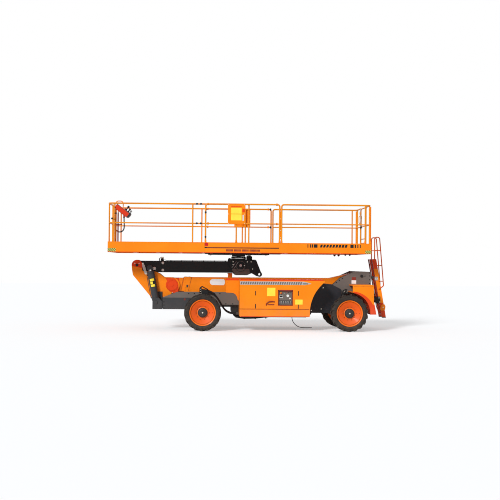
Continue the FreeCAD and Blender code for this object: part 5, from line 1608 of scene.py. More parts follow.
@dataclass(frozen=True)
class Head:
    """Plates, pins, ribs and slewing fittings of the boom's head."""

    face: float = 0.188
    pivot: Pair = (-0.23, 1.69)
    slew_x: float = -0.281
    ring_z: Pair = (1.85, 1.922)

    def build(self) -> None:
        """Build the head's pieces."""
        for side in Side:
            self.build_cheek(side)
        self.build_slewing()
        self.build_hoses()

    def build_cheek(self, side: Side) -> None:
        """The lower plate, stiffeners, pin head and bolts of one cheek."""
        way = side.value
        y = way * self.face
        low = Blank("head_lower_plate", side)
        ring = ((-0.455, 1.6), (-0.455, 1.565), (-0.378, 1.445), (-0.07, 1.445), (0.02, 1.48), (0, 1.6))
        low.prism(side.outline(self.face, ring), side.way * 0.006, GREY)
        low.done("head", 0.0015)
        lug = Blank("head_lug", side)
        ring = ((-0.462, 1.6), (-0.462, 1.84), (-0.505, 1.885), (-0.537, 1.888), (-0.56, 1.862), (-0.56, 1.8),
            (-0.53, 1.69))
        lug.prism(side.outline(self.face, ring), side.way * 0.012, BLACK)
        lug.disc((-0.528, y, 1.855), side.way, 0.022, 0.02, BLACK, 28)
        lug.done("head", 0.002)
        ribs = Blank("head_ribs", side)
        # The slim ribs are pale grey as painted highlights along lit edges; the bold ones are black.
        bold, slim_highlit = (0.006, 0.022, BLACK), (0.005, 0.016, PALE_GREY)
        for x0, z0, x1, z1, (half, rise, finish) in ((-0.45, 1.84, -0.3, 1.7, bold),
                (-0.33, 1.845, -0.25, 1.76, bold), (0.16, 1.82, 0.215, 1.5, bold),
                (-0.12, 1.845, -0.15, 1.74, bold), (-0.462, 1.63, -0.345, 1.8, slim_highlit),
                (-0.412, 1.6, -0.29, 1.78, slim_highlit)):
            start, end = Vector((x0, y, z0)), Vector((x1, y, z1))
            across = Vector((start.z - end.z, 0, end.x - start.x)).normalized() * half
            ribs.prism([start - across, start + across, end + across, end - across], side.way * rise, finish)
        ribs.box((-0.47, y, 1.812), (0.15, y + way * 0.012, 1.832), BLACK)
        ribs.done("head", 0.001)
        px, pz = self.pivot
        head = Blank("head_pin", side)
        head.disc((px, way * 0.2015, pz), side.way, 0.036, 0.008, PALE, 28)
        for inner, outer, finish in ((0.048, 0.085, IRON), (0.112, 0.126, GREY), (0.15, 0.162, IRON)):
            head.lathe([(inner, 0), (outer, 0), (outer - 0.003, 0.008), (inner, 0.008)], Vector((px, y, pz)),
                side.way, finish, 48)
        head.box((px + 0.034, y, pz - 0.018), (px + 0.12, y + way * 0.014, pz + 0.018), IRON)
        head.done("head", 0.001)
        spots = [(-0.43, 1.79), (-0.43, 1.72), (-0.05, 1.79), (0.05, 1.79), (0.09, 1.6)]
        places = side.spots(self.face, spots) + side.spots(self.face + 0.014, [(px + 0.1, pz)])
        bolt("head_bolts_" + side.label, places, "head", ZINC, 0.01, 0.008)
        eye = Blank("head_eye_ring", side)
        eye.lathe([(0.0345, 0), (0.058, 0), (0.055, 0.006), (0.0345, 0.006)], Vector((0.278, y, 1.46)),
            side.way, IRON, 36)
        eye.done("head", 0.001)

    def build_slewing(self) -> None:
        """Bolt circles, teeth and motor parts of the slewing ring."""
        teeth = []
        for i in range(90):
            angle = 2.0 * math.pi * i / 90
            out = Vector((math.cos(angle), math.sin(angle), 0))
            teeth.append((Vector((self.slew_x, 0, self.ring_z[0] + 0.034)) + out * 0.1945, out))
        bolt("slew_teeth", teeth, "head", STEEL, 0.0055, 0.006)
        motor = Blank("slew_motor_parts")
        motor.lathe([(0, 0), (0.046, 0), (0.046, 0.01), (0.03, 0.014), (0, 0.014)], (0.005, 0, 1.955), UP, ZINC,
            30)
        for side in Side:
            y = side.value * 0.075
            motor.lathe([(0, 0), (0.03, 0), (0.03, 0.03), (0.022, 0.036), (0, 0.036)], (0.03, y, 1.895),
                side.way, IRON, 24)
        motor.done("head", 0.001)
        places = ring_places(Vector((0.005, 0, 1.935)), UP, 0.062, 6)
        bolt("slew_motor_bolts", places, "head", ZINC, 0.007, 0.006)
        low = [((px, py, 1.975), (0, 0, -1)) for px in (-0.5, -0.06) for py in (-0.3, 0, 0.3)]
        low += [((px, py, 1.975), (0, 0, -1)) for px in (-1.06, 0.47) for py in (-0.46, -0.15, 0.15, 0.46)]
        bolt("subframe_bolts", low, "platform", ZINC, 0.013, 0.01)

    def build_hoses(self) -> None:
        """Short hoses that loop from the slewing motor into the head."""
        lines = []
        for side in Side:
            y = side.value
            lines.append([(0.03, y * 0.11, 1.895), (0.03, y * 0.135, 1.89), (0.075, y * 0.148, 1.85),
                (0.1, y * 0.14, 1.77), (0.06, y * 0.12, 1.7), (-0.02, y * 0.11, 1.69)])
        pipe("slew_hoses", lines, "head", CABLE, 0.009, 0.03, 12)


@dataclass(frozen=True)
class RiserCylinder:
    """Gland and port of the cylinder below the riser."""

    foot: Pair = (2.23, 0.6)
    eye: Pair = (0.7, 0.88)
    barrel_radius: float = 0.085

    def build(self) -> None:
        """Build the cylinder's pieces."""
        start = Vector((self.foot[0], 0, self.foot[1]))
        reach = Vector((self.eye[0], 0, self.eye[1])) - start
        way = reach.normalized()
        gland = reach.length - 0.062 - 0.045
        ring = Blank("riser_gland")
        outer = self.barrel_radius
        ring.lathe([(outer - 0.001, gland - 0.055), (outer + 0.006, gland - 0.051),
            (outer + 0.006, gland - 0.005), (outer - 0.008, gland + 0.008), (0.046, gland + 0.008),
            (0.046, gland - 0.002), (outer - 0.004, gland - 0.002)], start, way, IRON, 44)
        ring.done("riser_barrel", 0.001)
        up = Vector((0, 1.0, 0)).cross(way).normalized()
        up = up if up.z > 0 else -up
        places = [(start + way * 0.14 + up * (outer - 0.002), up), (start + way * (gland - 0.1)
            + up * (outer - 0.002), up)]
        bolt("riser_ports", places, "riser_barrel", ZINC, 0.017, 0.016)
        base = start + up * (outer + 0.013)
        line = [[base + way * 0.14, base + way * 0.14 + up * 0.012, base + way * 0.2 + up * 0.012,
            base + way * (gland - 0.16) + up * 0.012, base + way * (gland - 0.1) + up * 0.012,
            base + way * (gland - 0.1)]]
        pipe("riser_hard_line", line, "riser_barrel", ZINC, 0.008, 0.02, 12)


# ---------------------------------------- platform
@dataclass(frozen=True)
class Decks:
    """Chequer floors, strips, plates and under-floor parts of the two decks."""

    half: float = 1.205
    strip_z: Pair = (2.013, 2.28)
    ends: Pair = (-3.665, 3.103)
    joint: float = -1.2
    main_floor: float = 2.143
    slide_floor: float = 2.161
    slanted_bars: int = 9
    marks: tuple[tuple[float, int], ...] = ((-0.64, 6), (-0.44, 6), (-0.24, 6), (-0.04, 9))

    def build(self) -> None:
        """Build the decks' pieces."""
        self.build_floors()
        for side in Side:
            self.build_strip(side)
            self.build_corners(side)
        self.build_under()

    def build_floors(self) -> None:
        """Chequer plates over both floors, with their screws."""
        inside = self.half - 0.045
        main = Blank("main_floor_plates")
        for x0, x1 in ((0.16, 1.12), (1.126, 2.09), (2.096, 3.06)):
            main.box((x0, -inside, self.main_floor - 0.0005), (x1, inside, self.main_floor + 0.003),
                FLOOR_PLATE)
        main.done("platform", 0.0008)
        slide = Blank("slide_floor_plates")
        edges = (-3.622, -2.68, -1.74, -0.8, 0.144)
        for x0, x1 in zip(edges, edges[1:]):
            slide.box((x0 + 0.003, -inside + 0.012, self.slide_floor - 0.0005),
                (x1 - 0.003, inside - 0.012, self.slide_floor + 0.003), FLOOR_PLATE)
        slide.done("slide_deck", 0.0008)
        for name, body, top, starts in (("main_floor_screws", "platform", self.main_floor, (0.19, 1.15, 2.12)),
                ("slide_floor_screws", "slide_deck", self.slide_floor, (-3.59, -2.65, -1.71, -0.77))):
            places = [((x + 0.45 * i, 0.36 * j, top + 0.003), UP) for x in starts for i in range(3)
                for j in (-3, -1, 1, 3) if x + 0.45 * i < 3.05]
            bolt(name, places, body, ZINC, 0.008, 0.003)

    def build_strip(self, side: Side) -> None:
        """Rolled lips, the slide's groove, dark bars and markers on the side strips. The lower lips are red
        orange as painted shade, and the groove is flat dark strips as painted shade.
        """
        low, high = self.strip_z
        face = side.value * self.half
        for name, body, x0, x1 in (("main_lips_", "platform", self.joint + 0.004, self.ends[1] - 0.002),
                ("slide_lips_", "slide_deck", self.ends[0] + 0.002, self.joint - 0.009)):
            lips = Blank(name + side.label)
            lips.panel((x0, x1), (high - 0.01, high + 0.002), face, ORANGE, 0.004)
            # The lower lip is red orange as painted shade under the strip's edge.
            lips.panel((x0, x1), (low - 0.002, low + 0.012), face, RED_ORANGE, 0.004)
            lips.done(body, 0.001)
        cover = Blank("joint_cover", side)
        cover.box((self.joint - 0.0088, face + side.value * 0.0003, low + 0.013),
            (self.joint + 0.004, face + side.value * 0.0018, high - 0.011), ORANGE)
        cover.done("platform")
        groove = Blank("slide_groove", side)
        # Flat brown and black strips stand in for the groove: painted shade.
        groove.panel((self.joint + 0.015, 0.719), (2.145, 2.157), face, BROWN, 0.0012)
        groove.panel((self.joint + 0.015, 0.719), (2.131, 2.145), face, BLACK, 0.0016)
        groove.panel((self.joint + 0.005, self.joint + 0.06), (2.131, 2.165), face, BLACK, 0.002)
        for start, count in self.marks:
            for i in range(count):
                x = start + 0.03 * i
                groove.panel((x, x + 0.025), (2.05, 2.106), face, BROWN, 0.001)
        groove.done("platform", 0.0003)
        marker = Blank("red_marker", side)
        marker.panel((self.joint + 0.008, -1.105), (2.19, 2.266), face, RED, 0.01)
        marker.done("platform", 0.003)
        bars = Blank("deck_bars", side)
        for x in ((1.452, 1.474), (1.513, 1.54), (1.561, 1.594), (1.615, 1.71), (2.561, 2.646), (2.674, 2.707),
                (2.742, 2.769), (2.808, 2.83)):
            bars.panel(x, (2.166, 2.252), face, BLACK)
        for i in range(self.slanted_bars):
            x = 1.772 + 0.08 * i
            ring = ((x, 2.172), (x + 0.056, 2.172), (x + 0.078, 2.246), (x + 0.022, 2.246))
            bars.prism(side.outline(self.half, ring), side.way * PROUD, BLACK)
        bars.done("platform", 0.0003)

    def build_corners(self, side: Side) -> None:
        """Striped plates low on the four corners."""
        face = side.value * self.half
        near_end = Blank("striped_plate_main", side)
        near_end.panel((2.95, 3.1), (2.022, 2.104), face, HAZARD)
        y0, y1 = side.value * 1.06, side.value * 1.203
        near_end.box((self.ends[1] - 0.0005, y0, 2.022), (self.ends[1] + PROUD, y1, 2.104), HAZARD)
        near_end.done("platform", 0.0004)
        far_end = Blank("striped_plate_slide", side)
        far_end.panel((-3.662, -3.46), (2.022, 2.11), face, HAZARD)
        far_end.box((self.ends[0] - PROUD, y0, 2.022), (self.ends[0] + 0.0005, y1, 2.11), HAZARD)
        far_end.done("slide_deck", 0.0004)

    def build_under(self) -> None:
        """Rollers, brackets and cable runs under the floors."""
        rollers = Blank("deck_rollers")
        blocks = Blank("deck_brackets")
        for side in Side:
            for x in (2.445, 2.56, -1.02):
                blocks.box((x - 0.035, side.value * 1.08, 1.988), (x + 0.035, side.value * 1.15, 2.015), BROWN)
                rollers.disc((x, side.value * 1.095, 1.985), side.way, 0.022, 0.04, IRON, 24)
        blocks.box((-1.35 + 0.16, -0.86, 1.985), (-0.98, -0.78, 2.014), BLACK)
        blocks.box((0.5, -0.9, 1.985), (0.78, -0.84, 2.014), BLACK)
        blocks.done("platform", 0.002)
        rollers.done("platform", 0.001)
        lines = [[(-1.08, y, 2.03), (-0.3, y, 2.03), (0.9, y, 2.03), (2.98, y, 2.03)] for y in (-0.62, -0.6)]
        pipe("deck_cables", lines, "platform", CABLE, 0.008, 0.02, 10)


@dataclass(frozen=True)
class Rails:
    """Sockets, pins, knobs, plates and gate fittings of the rails."""

    main_y: float = 1.185
    slide_y: float = 1.14
    top: float = 3.265
    mid: float = 2.766
    deck_top: float = 2.28
    end_x: float = 3.077

    def build(self) -> None:
        """Build the rails' pieces."""
        self.build_sockets()
        self.build_knobs()
        self.build_plates()
        self.build_gate()
        self.build_hoop_clamps()

    def socket(self, blank: Blank, x: float, y: float, foot: float) -> None:
        """Add a square foot plate and a collar round a post."""
        blank.box((x - 0.034, y - 0.0185, foot - 0.0005), (x + 0.034, y + 0.0185, foot + 0.006), ORANGE)
        blank.lathe([(0.0195, 0.004), (0.0245, 0.004), (0.0245, 0.058), (0.0225, 0.062), (0.0195, 0.062)],
            (x, y, foot), UP, ORANGE, 24)

    def build_sockets(self) -> None:
        """Feet of the posts on both decks."""
        for side, xs in ((Side.NEAR, (-1.172, -0.384, 0.731, 0.783, 2.947, 3.077)),
                (Side.FAR, (-1.172, -0.141, 0.662, 0.714, 2.947, 3.077))):
            feet = Blank("main_sockets", side)
            places = []
            for x in xs:
                self.socket(feet, x, side.value * self.main_y, self.deck_top)
                places += [((x + dx, side.value * self.main_y, self.deck_top + 0.006), UP)
                    for dx in (-0.028, 0.028)]
            feet.done("platform", 0.001)
            bolt("socket_bolts_" + side.label, places, "platform", ZINC, 0.0045, 0.005)
        feet = Blank("slide_sockets")
        for side, last in ((Side.NEAR, -1.504), (Side.FAR, -1.274)):
            for x in (-3.515, last):
                self.socket(feet, x, side.value * self.slide_y, 2.164)
        feet.done("slide_deck", 0.001)

    def knob(self, blank: Blank, place: Point, side: Side) -> None:
        """Add a spring pin's body and its dark pull knob."""
        blank.lathe([(0, 0), (0.014, 0), (0.014, 0.016), (0, 0.016)], place, side.way, PLASTIC, 18)
        knob = Vector(place) + side.way * 0.015
        blank.lathe([(0, 0), (0.016, 0), (0.026, 0.008), (0.026, 0.018), (0.014, 0.025), (0, 0.026)], knob,
            side.way, PLASTIC, 22)

    def build_knobs(self) -> None:
        """Lock pins between the sliding rails and the fixed ones."""
        knobs = Blank("slide_rail_knobs")
        y = -self.slide_y - 0.018
        for x in (-1.397, -1.294):
            for z in (self.top, self.mid):
                self.knob(knobs, (x, y, z), Side.NEAR)
        self.knob(knobs, (-3.56, -self.slide_y - 0.012, 2.87), Side.NEAR)
        knobs.done("slide_deck", 0.0006)
        fixed = Blank("main_rail_knobs")
        for z in (self.top, self.mid):
            self.knob(fixed, (0.64, self.main_y - 0.018, z), Side.NEAR)
        self.knob(fixed, (-1.172, -self.main_y - 0.017, 2.42), Side.NEAR)
        self.knob(fixed, (-1.172, -self.main_y - 0.017, 3.05), Side.NEAR)
        fixed.done("platform", 0.0006)
        clips = Blank("rail_guides")
        for side in Side:
            for x in (-1.13, 0.64 if side is Side.NEAR else 0.56):
                for z in (self.top, self.mid):
                    clips.box((x, side.value * (self.main_y - 0.012), z - 0.03),
                        (x + 0.04, side.value * (self.main_y - 0.018), z + 0.03), ORANGE)
        clips.done("platform", 0.001)

    def build_plates(self) -> None:
        """The filled joint between two side posts, its bolts, and the wide corner post."""
        filled = Blank("joint_plate")
        filled.box((0.731, -self.main_y - 0.005, self.deck_top + 0.1),
            (0.783, 0.005 - self.main_y, self.top - 0.1), ORANGE)
        filled.done("platform", 0.001)
        places = Side.NEAR.spots(self.main_y + 0.005, [(0.757, z) for z in (2.42, 2.6, 2.9, 3.1)])
        bolt("joint_bolts", places, "platform", ZINC, 0.009, 0.007)
        for side in Side:
            y = side.value * self.main_y
            corner = Blank("corner_post", side)
            corner.box((3.046, y - 0.012, self.deck_top + 0.002), (3.083, y + 0.012, self.top - 0.03), ORANGE)
            # A red strip on the post's side away from the light: painted shade.
            corner.box((3.078, y - 0.0115, self.deck_top + 0.004), (3.099, y + 0.0115, self.top - 0.032),
                GRAB_RED_AND_POST_SHADE)
            corner.done("platform", 0.005)

    def build_gate(self) -> None:
        """Hinge leaves, the latch and its bent handle."""
        x = self.end_x
        hinges = Blank("gate_hinges")
        for z in (2.35, 2.62, 3.08):
            leaf = [(0, -0.035), (0.012, -0.035), (0.012, 0.035), (0, 0.035)]
            hinges.lathe(leaf, (x, -0.429, z), UP, ZINC, 20)
        hinges.done("platform", 0.0008)
        latch = Blank("gate_latch")
        latch.box((x - 0.03, 0.33, 2.73), (x + 0.022, 0.4, 2.8), IRON)
        latch.disc((x + 0.022, 0.365, 2.765), (1, 0, 0), 0.018, 0.004, ZINC, 24)
        latch.done("gate", 0.003)
        grip = [[(x, 0.395, 3.08), (x + 0.02, 0.395, 3.08), (x + 0.024, 0.395, 2.84), (x, 0.395, 2.84)]]
        pipe("gate_pull", grip, "gate", ZINC, 0.007, 0.02, 12)
        wire = [[(x - 0.02, 0.3, 3.25), (x - 0.05, 0.3, 3.15), (x - 0.03, 0.29, 2.96), (x - 0.05, 0.29, 2.82),
            (x - 0.02, 0.3, 2.77)]]
        pipe("gate_stay", wire, "gate", PALE_GREY, 0.009, 0.05, 12)
        mesh = Blank("gate_kick_plate")
        mesh.box((x - 0.004, -0.39, 2.215), (x + 0.004, 0.39, 2.33), ORANGE)
        mesh.done("gate", 0.001)

    def build_hoop_clamps(self) -> None:
        """Orange bolt heads where the mid rails meet the posts."""
        places = []
        for side, xs in ((Side.NEAR, (-0.384, 2.947)), (Side.FAR, (-0.141, 2.947))):
            places += side.spots(self.main_y + 0.018, [(x, self.mid) for x in xs])
        bolt("mid_rail_bolts", places, "platform", ORANGE, 0.01, 0.006)


@dataclass(frozen=True)
class Signs:
    """Blank yellow plates, small plates, rivets and edge strips on the boards."""

    boards: tuple[tuple[Side, float], ...] = ((Side.NEAR, -0.377), (Side.FAR, -0.141))
    face: float = 1.211

    def build(self) -> None:
        """Build the pieces on both boards."""
        for side, x in self.boards:
            y = side.value * self.face
            plates = Blank("board_plates", side)
            for z0, z1 in ((3.02, 3.172), (2.85, 3.006)):
                plates.panel((x - 0.146, x + 0.126), (z0, z1), y, YELLOW)
            plates.panel((x - 0.15, x + 0.13), (3.196, 3.214), y, RED_ORANGE)
            plates.panel((x + 0.15, x + 0.188), (2.84, 2.99), y, PALE)
            plates.panel((x + 0.146, x + 0.208), (3.06, 3.15), y, RED_ORANGE)
            plates.done("platform", 0.0004)
            spots = [(x + dx, z) for dx in (-0.205, 0.205) for z in (2.775, 3.012, 3.25)]
            bolt("board_rivets_" + side.label, side.spots(self.face, spots), "platform", ZINC, 0.007, 0.004)
            frame_strip = Blank("board_edges", side)
            for z in (2.7545, 3.2615):
                frame_strip.panel((x - 0.2245, x + 0.2245), (z, z + 0.01), y, ORANGE, 0.005)
            frame_strip.done("platform", 0.001)


@dataclass(frozen=True)
class Console:
    """Label panel, joysticks, buttons and guards of the platform's control box."""

    centre: Point = (-3.32, -0.9525, 3.075)
    size: tuple[float, float, float] = (0.395, 0.305, 0.13)
    lean: float = 38.0

    @property
    def frame_of(self) -> Matrix:
        """The leaning box's own frame."""
        return Matrix.Translation(self.centre) @ Matrix.Rotation(math.radians(self.lean), 4, "Y")

    def slab(self, blank: Blank, low: Point, high: Point, finish: Finish) -> None:
        """Add a box given in the leaning frame."""
        (x0, y0, z0), (x1, y1, z1) = low, high
        ring = [self.frame_of @ Vector(p) for p in ((x0, y0, z0), (x1, y0, z0), (x1, y1, z0), (x0, y1, z0))]
        push = self.frame_of.to_3x3() @ Vector((0, 0, z1 - z0))
        blank.prism(ring, push, finish)

    def build(self) -> None:
        """Build the console's pieces on the sliding deck."""
        length, width, depth = self.size
        top, y0, y1 = depth / 2, -width / 2, width / 2
        up = self.frame_of.to_3x3() @ Vector((0, 0, 1.0))
        face = Blank("console_panel")
        self.slab(face, (-length / 2 + 0.012, y0 + 0.012, top - 0.001),
            (length / 2 - 0.012, y1 - 0.012, top + 0.002), PALE)
        self.slab(face, (-length / 2 + 0.024, y0 + 0.03, top + 0.001), (-0.05, y1 - 0.03, top + 0.003),
            PALE_GREY)
        for i in range(5):
            self.slab(face, (-0.17, y0 + 0.045 + 0.045 * i, top + 0.002),
                (-0.15, y0 + 0.07 + 0.045 * i, top + 0.004), BLACK)
        for side in (-1, 1):
            y = sorted((side * (width / 2 - 0.001), side * (width / 2 + 0.003)))
            self.slab(face, (-length / 2, y[0], -top), (length / 2, y[1], -top + 0.012), BROWN)
            self.slab(face, (-length / 2, y[0], top - 0.012), (length / 2, y[1], top), BROWN)
        face.done("slide_deck", 0.001)
        parts = Blank("console_controls")
        for along, tall in ((0.06, 1.32), (0.13, 1.0)):
            place = self.frame_of @ Vector((along, 0, top + 0.001))
            boot = [(0, 0), (0.034, 0), (0.034, 0.006), (0.027, 0.01), (0.03, 0.016), (0.023, 0.021),
                (0.025, 0.027), (0.018, 0.032), (0.019, 0.038), (0.0135, 0.044)]
            grip = [(0.0145, 0.06), (0.027, 0.07), (0.03, 0.094), (0.019, 0.106), (0, 0.109)]
            parts.lathe(boot + [(radius, height * tall) for radius, height in grip], place, up, PLASTIC, 28)
        stop = self.frame_of @ Vector((0.01, width / 2 - 0.055, top + 0.001))
        parts.disc(stop, up, 0.03, 0.003, YELLOW, 28)
        parts.lathe([(0, 0), (0.011, 0), (0.011, 0.018), (0.021, 0.022), (0.022, 0.03), (0.014, 0.037),
            (0, 0.038)], stop, up, RED, 28)
        for i in range(4):
            place = self.frame_of @ Vector((-0.02, y0 + 0.045 + 0.035 * i, top + 0.001))
            parts.lathe([(0, 0), (0.01, 0), (0.01, 0.004), (0.003, 0.005), (0.0045, 0.028), (0, 0.031)], place,
                up, ZINC, 16)
        parts.done("slide_deck", 0.0005)
        self.build_guard()
        self.build_gland()

    def build_guard(self) -> None:
        """The rounded bumper at the box's low end, and the hoop that guards the joysticks."""
        width, top = self.size[1], self.size[2] / 2
        ring = [(0.192, -0.055), (0.215, -0.058), (0.232, -0.03), (0.238, 0.02), (0.232, 0.065), (0.215, 0.09),
            (0.192, 0.088)]
        bumper = Blank("console_bumper")
        points = [self.frame_of @ Vector((x, -width / 2 - 0.004, z)) for x, z in ring]
        bumper.prism(points, (0, width + 0.008, 0), PLASTIC)
        bumper.done("slide_deck", 0.008)
        hoop = [[self.frame_of @ Vector(p) for p in ((0.185, -width / 2 + 0.02, top),
            (0.188, -width / 2 + 0.02, top + 0.085), (0.188, width / 2 - 0.02, top + 0.085),
            (0.185, width / 2 - 0.02, top))]]
        pipe("console_hoop", hoop, "slide_deck", BLACK, 0.008, 0.04, 14)

    def build_gland(self) -> None:
        """Cable glands under the box and on the post, and the post's clamps."""
        gland = Blank("console_glands")
        gland.lathe([(0.0151, 0), (0.0235, 0), (0.0235, 0.02), (0.019, 0.024), (0.019, 0.036), (0.0151, 0.04)],
            (-3.27, -1.0, 2.925), (0, 0, -1), PLASTIC, 20)
        gland.lathe([(0.0151, 0), (0.0225, 0), (0.0225, 0.022), (0.0151, 0.026)], (-3.478, -1.016, 2.83),
            (0, 0, -1), PLASTIC, 20)
        gland.done("slide_deck", 0.0006)
        clamps = Blank("console_clamps")
        for z in (2.766, 3.01):
            clamps.lathe([(0.0242, 0), (0.029, 0), (0.029, 0.03), (0.0242, 0.03)], (-3.478, -1.06, z - 0.015),
                UP, IRON, 26)
        clamps.box((-3.5, -1.072, 2.711), (-3.31, -1.046, 2.731), BROWN)
        clamps.lathe([(0.0132, 0), (0.0175, 0), (0.0175, 0.845), (0.0132, 0.845)], (-3.417, -1.06, 2.164), UP,
            BROWN, 26)
        clamps.lathe([(0, 0), (0.012, 0), (0.02, 0.01), (0.02, 0.022), (0, 0.026)], (-3.502, -1.084, 2.853),
            (0, -1, 0), PLASTIC, 22)
        clamps.done("slide_deck", 0.0008)


# ---------------------------------------- cords
@dataclass(frozen=True)
class CordRun:
    """One free cord on its smooth line."""

    name: str
    node: str
    body: str
    route: tuple[Point, ...]
    length: float
    diameter: float
    far_end: str
    stiffness: str
    lay: str

    def build(self) -> bpy.types.Object:
        curve = bpy.data.curves.new(self.name, "CURVE")
        curve.dimensions = "3D"
        curve.bevel_depth = self.diameter / 2
        curve.bevel_resolution = 5
        curve.resolution_u = 16
        curve.use_fill_caps = True
        line = curve.splines.new("NURBS")
        line.points.add(len(self.route) - 1)
        for knot, place in zip(line.points, self.route):
            knot.co = (*place, 1.0)
        line.order_u = 3
        line.use_endpoint_u = True
        curve.materials.append(CABLE.material())
        piece = placed(self.name, curve)
        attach(piece, self.body)
        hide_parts(self.node)
        log.info("%s rides on %s", self.name, self.body)
        return piece


def cord_runs() -> list[CordRun]:
    """The free cords: the console's cable, the earthing strap and the three steering hoses."""
    loop = ((-3.27, -1.0, 2.925), (-3.27, -1.0, 2.815), (-3.262, -1.002, 2.705), (-3.268, -1.004, 2.595),
        (-3.332, -1.006, 2.531), (-3.422, -1.009, 2.531), (-3.486, -1.012, 2.595), (-3.488, -1.014, 2.69),
        (-3.478, -1.016, 2.77), (-3.478, -1.016, 2.83))
    strap = ((1.2, 0.4, 0.33), (1.2, 0.4, 0.255), (1.228, 0.392, 0.17), (1.285, 0.384, 0.095),
        (1.365, 0.378, 0.04), (1.46, 0.38, 0.013), (1.56, 0.39, 0.0095), (1.66, 0.396, 0.0095),
        (1.75, 0.388, 0.0095))
    runs = [CordRun("console_lead", "console_cable", "slide_deck", loop, 0.821, 0.03, "object", "medium",
        "hanging"), CordRun("earthing_strap", "ground_strap", "chassis", strap, 0.743, 0.018, "bare", "medium",
        "loose")]
    for i, y in enumerate(STEERING_HOSE_Y):
        drop = (STEERING_HOSE_Y[1] - y) * 0.4
        hose = tuple((x, -y, z + drop) for x, z in ((-1.25, 1.03), (-1.13, 1.03), (-0.97, 0.975), (-0.84, 0.83),
            (-0.74, 0.65), (-0.61, 0.48), (-0.44, 0.43), (-0.282, 0.43)))
        runs.append(CordRun("steering_hose_%d" % (i + 1), "steer_hoses", "chassis", hose, 1.227, 0.03, "object",
            "stiff", "hanging"))
    return runs


# ---------------------------------------- studio
@dataclass(frozen=True)
class Studio:
    """Pale floor, soft light, white surroundings and the camera."""

    eye: Point = (-1.205, -27.7, 1.73)
    aim: Point = (-0.029, -1.225, 2.092)
    lens: float = 74.4
    roll: float = 0.45
    floor_half: float = 60.0
    surround: float = 0.42
    sun: float = 2.45
    sun_angle: float = 12.0
    sun_from: Point = (-0.5, -0.9, 0.55)
    pixel_filter: float = 1.0

    def build(self) -> None:
        """Build the floor, world, lights and camera."""
        self.build_floor()
        self.build_world()
        self.build_lights()
        self.build_camera()

    def build_floor(self) -> None:
        """The floor, which is white to the camera and keeps the machine's shadow."""
        form = bmesh.new()
        half = self.floor_half
        form.faces.new([form.verts.new((x, y, 0.0)) for x, y in ((-half, -half), (half, -half), (half, half),
            (-half, half))])
        mesh = bpy.data.meshes.new("studio_floor")
        form.to_mesh(mesh)
        form.free()
        material = bpy.data.materials.new("studio floor")
        wiring = fresh_wiring(material)
        matt = wiring.add("ShaderNodeBsdfDiffuse", {"Color": (0.785, 0.8, 0.82, 1.0)}).outputs[0]
        lift = wiring.add("ShaderNodeEmission", {"Color": (1.0, 1.0, 1.0, 1.0), "Strength": 0.36}).outputs[0]
        lifted = wiring.add("ShaderNodeAddShader", {0: matt, 1: lift}).outputs[0]
        shown = wiring.add("ShaderNodeMixShader", {0: wiring.seen(), 1: matt, 2: lifted}).outputs[0]
        wiring.add("ShaderNodeOutputMaterial", {"Surface": shown})
        mesh.materials.append(material)
        placed("studio_floor", mesh)

    def build_world(self) -> None:
        """White to the camera and to gloss, and a plain level of light on the machine."""
        world = bpy.data.worlds.new("studio")
        wiring = fresh_wiring(world)
        dim = wiring.add("ShaderNodeBackground", {"Color": (1.0, 1.0, 1.0, 1.0),
            "Strength": self.surround}).outputs[0]
        bright = wiring.add("ShaderNodeBackground", {"Color": (1.0, 1.0, 1.0, 1.0), "Strength": 1.0}).outputs[0]
        shown = wiring.add("ShaderNodeMixShader", {0: wiring.seen(), 1: dim, 2: bright}).outputs[0]
        wiring.add("ShaderNodeOutputWorld", {"Surface": shown})
        bpy.context.scene.world = world

    def build_lights(self) -> None:
        """One soft sun from the upper left front."""
        light = bpy.data.lights.new("sun", "SUN")
        light.energy = self.sun
        light.angle = math.radians(self.sun_angle)
        placed("sun", light).rotation_euler = Vector(self.sun_from).to_track_quat("Z", "Y").to_euler()

    def build_camera(self) -> None:
        """The camera, and the plain view transform."""
        camera = placed("camera", bpy.data.cameras.new("camera"))
        camera.data.lens = self.lens
        camera.data.clip_end = 400.0
        aim = (Vector(self.aim) - Vector(self.eye)).to_track_quat("-Z", "Y").to_matrix().to_4x4()
        turn = Matrix.Rotation(math.radians(self.roll), 4, "Z")
        camera.matrix_world = Matrix.Translation(self.eye) @ aim @ turn
        scene = bpy.context.scene
        scene.camera = camera
        scene.view_settings.view_transform = "Standard"
        scene.cycles.filter_width = self.pixel_filter


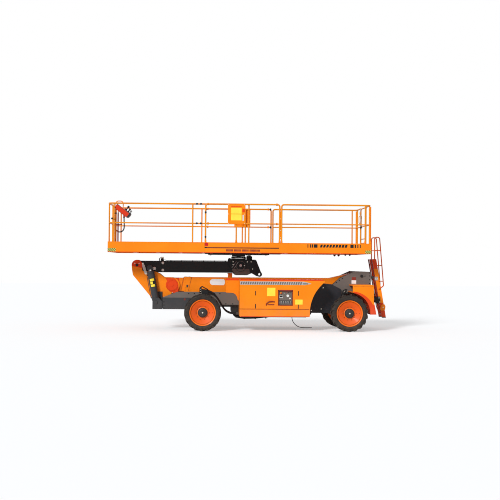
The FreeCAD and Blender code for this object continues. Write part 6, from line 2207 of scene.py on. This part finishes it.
# ---------------------------------------- the whole machine
NODE_FINISHES: dict[Finish, str] = {
    TYRE: "tyre_steer_near tyre_steer_far tyre_drive_near tyre_drive_far",
    RIM_RED: "rim_steer_near rim_steer_far rim_drive_near rim_drive_far",
    ORANGE: "side_trays main_deck slide_deck signs",
    RISER_ORANGE_SHADED_REST: "riser_tube",
    RAIL_ORANGE: "rails_near rails_far slide_rails gate",
    STAND_ORANGE: "console_stand",
    COVER_ORANGE_SHADED_FOOT: "end_covers",
    LADDER_SHADED_ORANGE: "ladder",
    IRON: "steer_axle drive_axle knuckle_near knuckle_far engine_and_tank",
    FRAME_GREY_SHADED_TAIL: "chassis_frame",
    SLATE: "cylinder_feet boom_barrels riser_barrel",
    BLACK: "belly_pan boom boom_head head_cheeks subframe",
    STEEL: "boom_rods riser_rod",
    FENDER: "inner_fenders",
    HOOD_ORANGE_SHADED_TOP: "hood_near hood_far",
    NECK_ORANGE_SHADED_TOP: "gooseneck",
    FLY_ORANGE_SHADED_END: "riser_inner",
    CONSOLE_RED: "console",
    GRAB_RED_AND_POST_SHADE: "handrails",
    PLASTIC: "ground_controls",
    CABLE: "console_cable ground_strap steer_hoses",
}


def assemblies() -> list[Any]:
    """Every sub-assembly in the order that it is built."""
    wheels = []
    for end in ("steer", "drive"):
        for side in Side:
            name = "%s_%s" % (end, side.label)
            low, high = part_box("tyre_" + name)
            wheels.append(Wheel(name, (low + high) / 2, side))
    sided = [kind(side) for kind in (Hood, LiftCylinder) for side in Side]
    return [*wheels, Chassis(), *sided, Machinery(), EndPieces(), Riser(), Gooseneck(), UpperBoom(), Head(),
        RiserCylinder(), Decks(), Rails(), Signs(), Console(), *cord_runs(), Studio()]


def main() -> None:
    """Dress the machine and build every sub-assembly."""
    logging.basicConfig(level=logging.INFO, format="%(name)s: %(message)s")
    for finish, nodes in NODE_FINISHES.items():
        for node in nodes.split():
            dress(node, finish)
    for assembly in assemblies():
        log.info("building %s", type(assembly).__name__)
        assembly.build()
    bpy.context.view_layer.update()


if __name__ == "__main__":
    main()
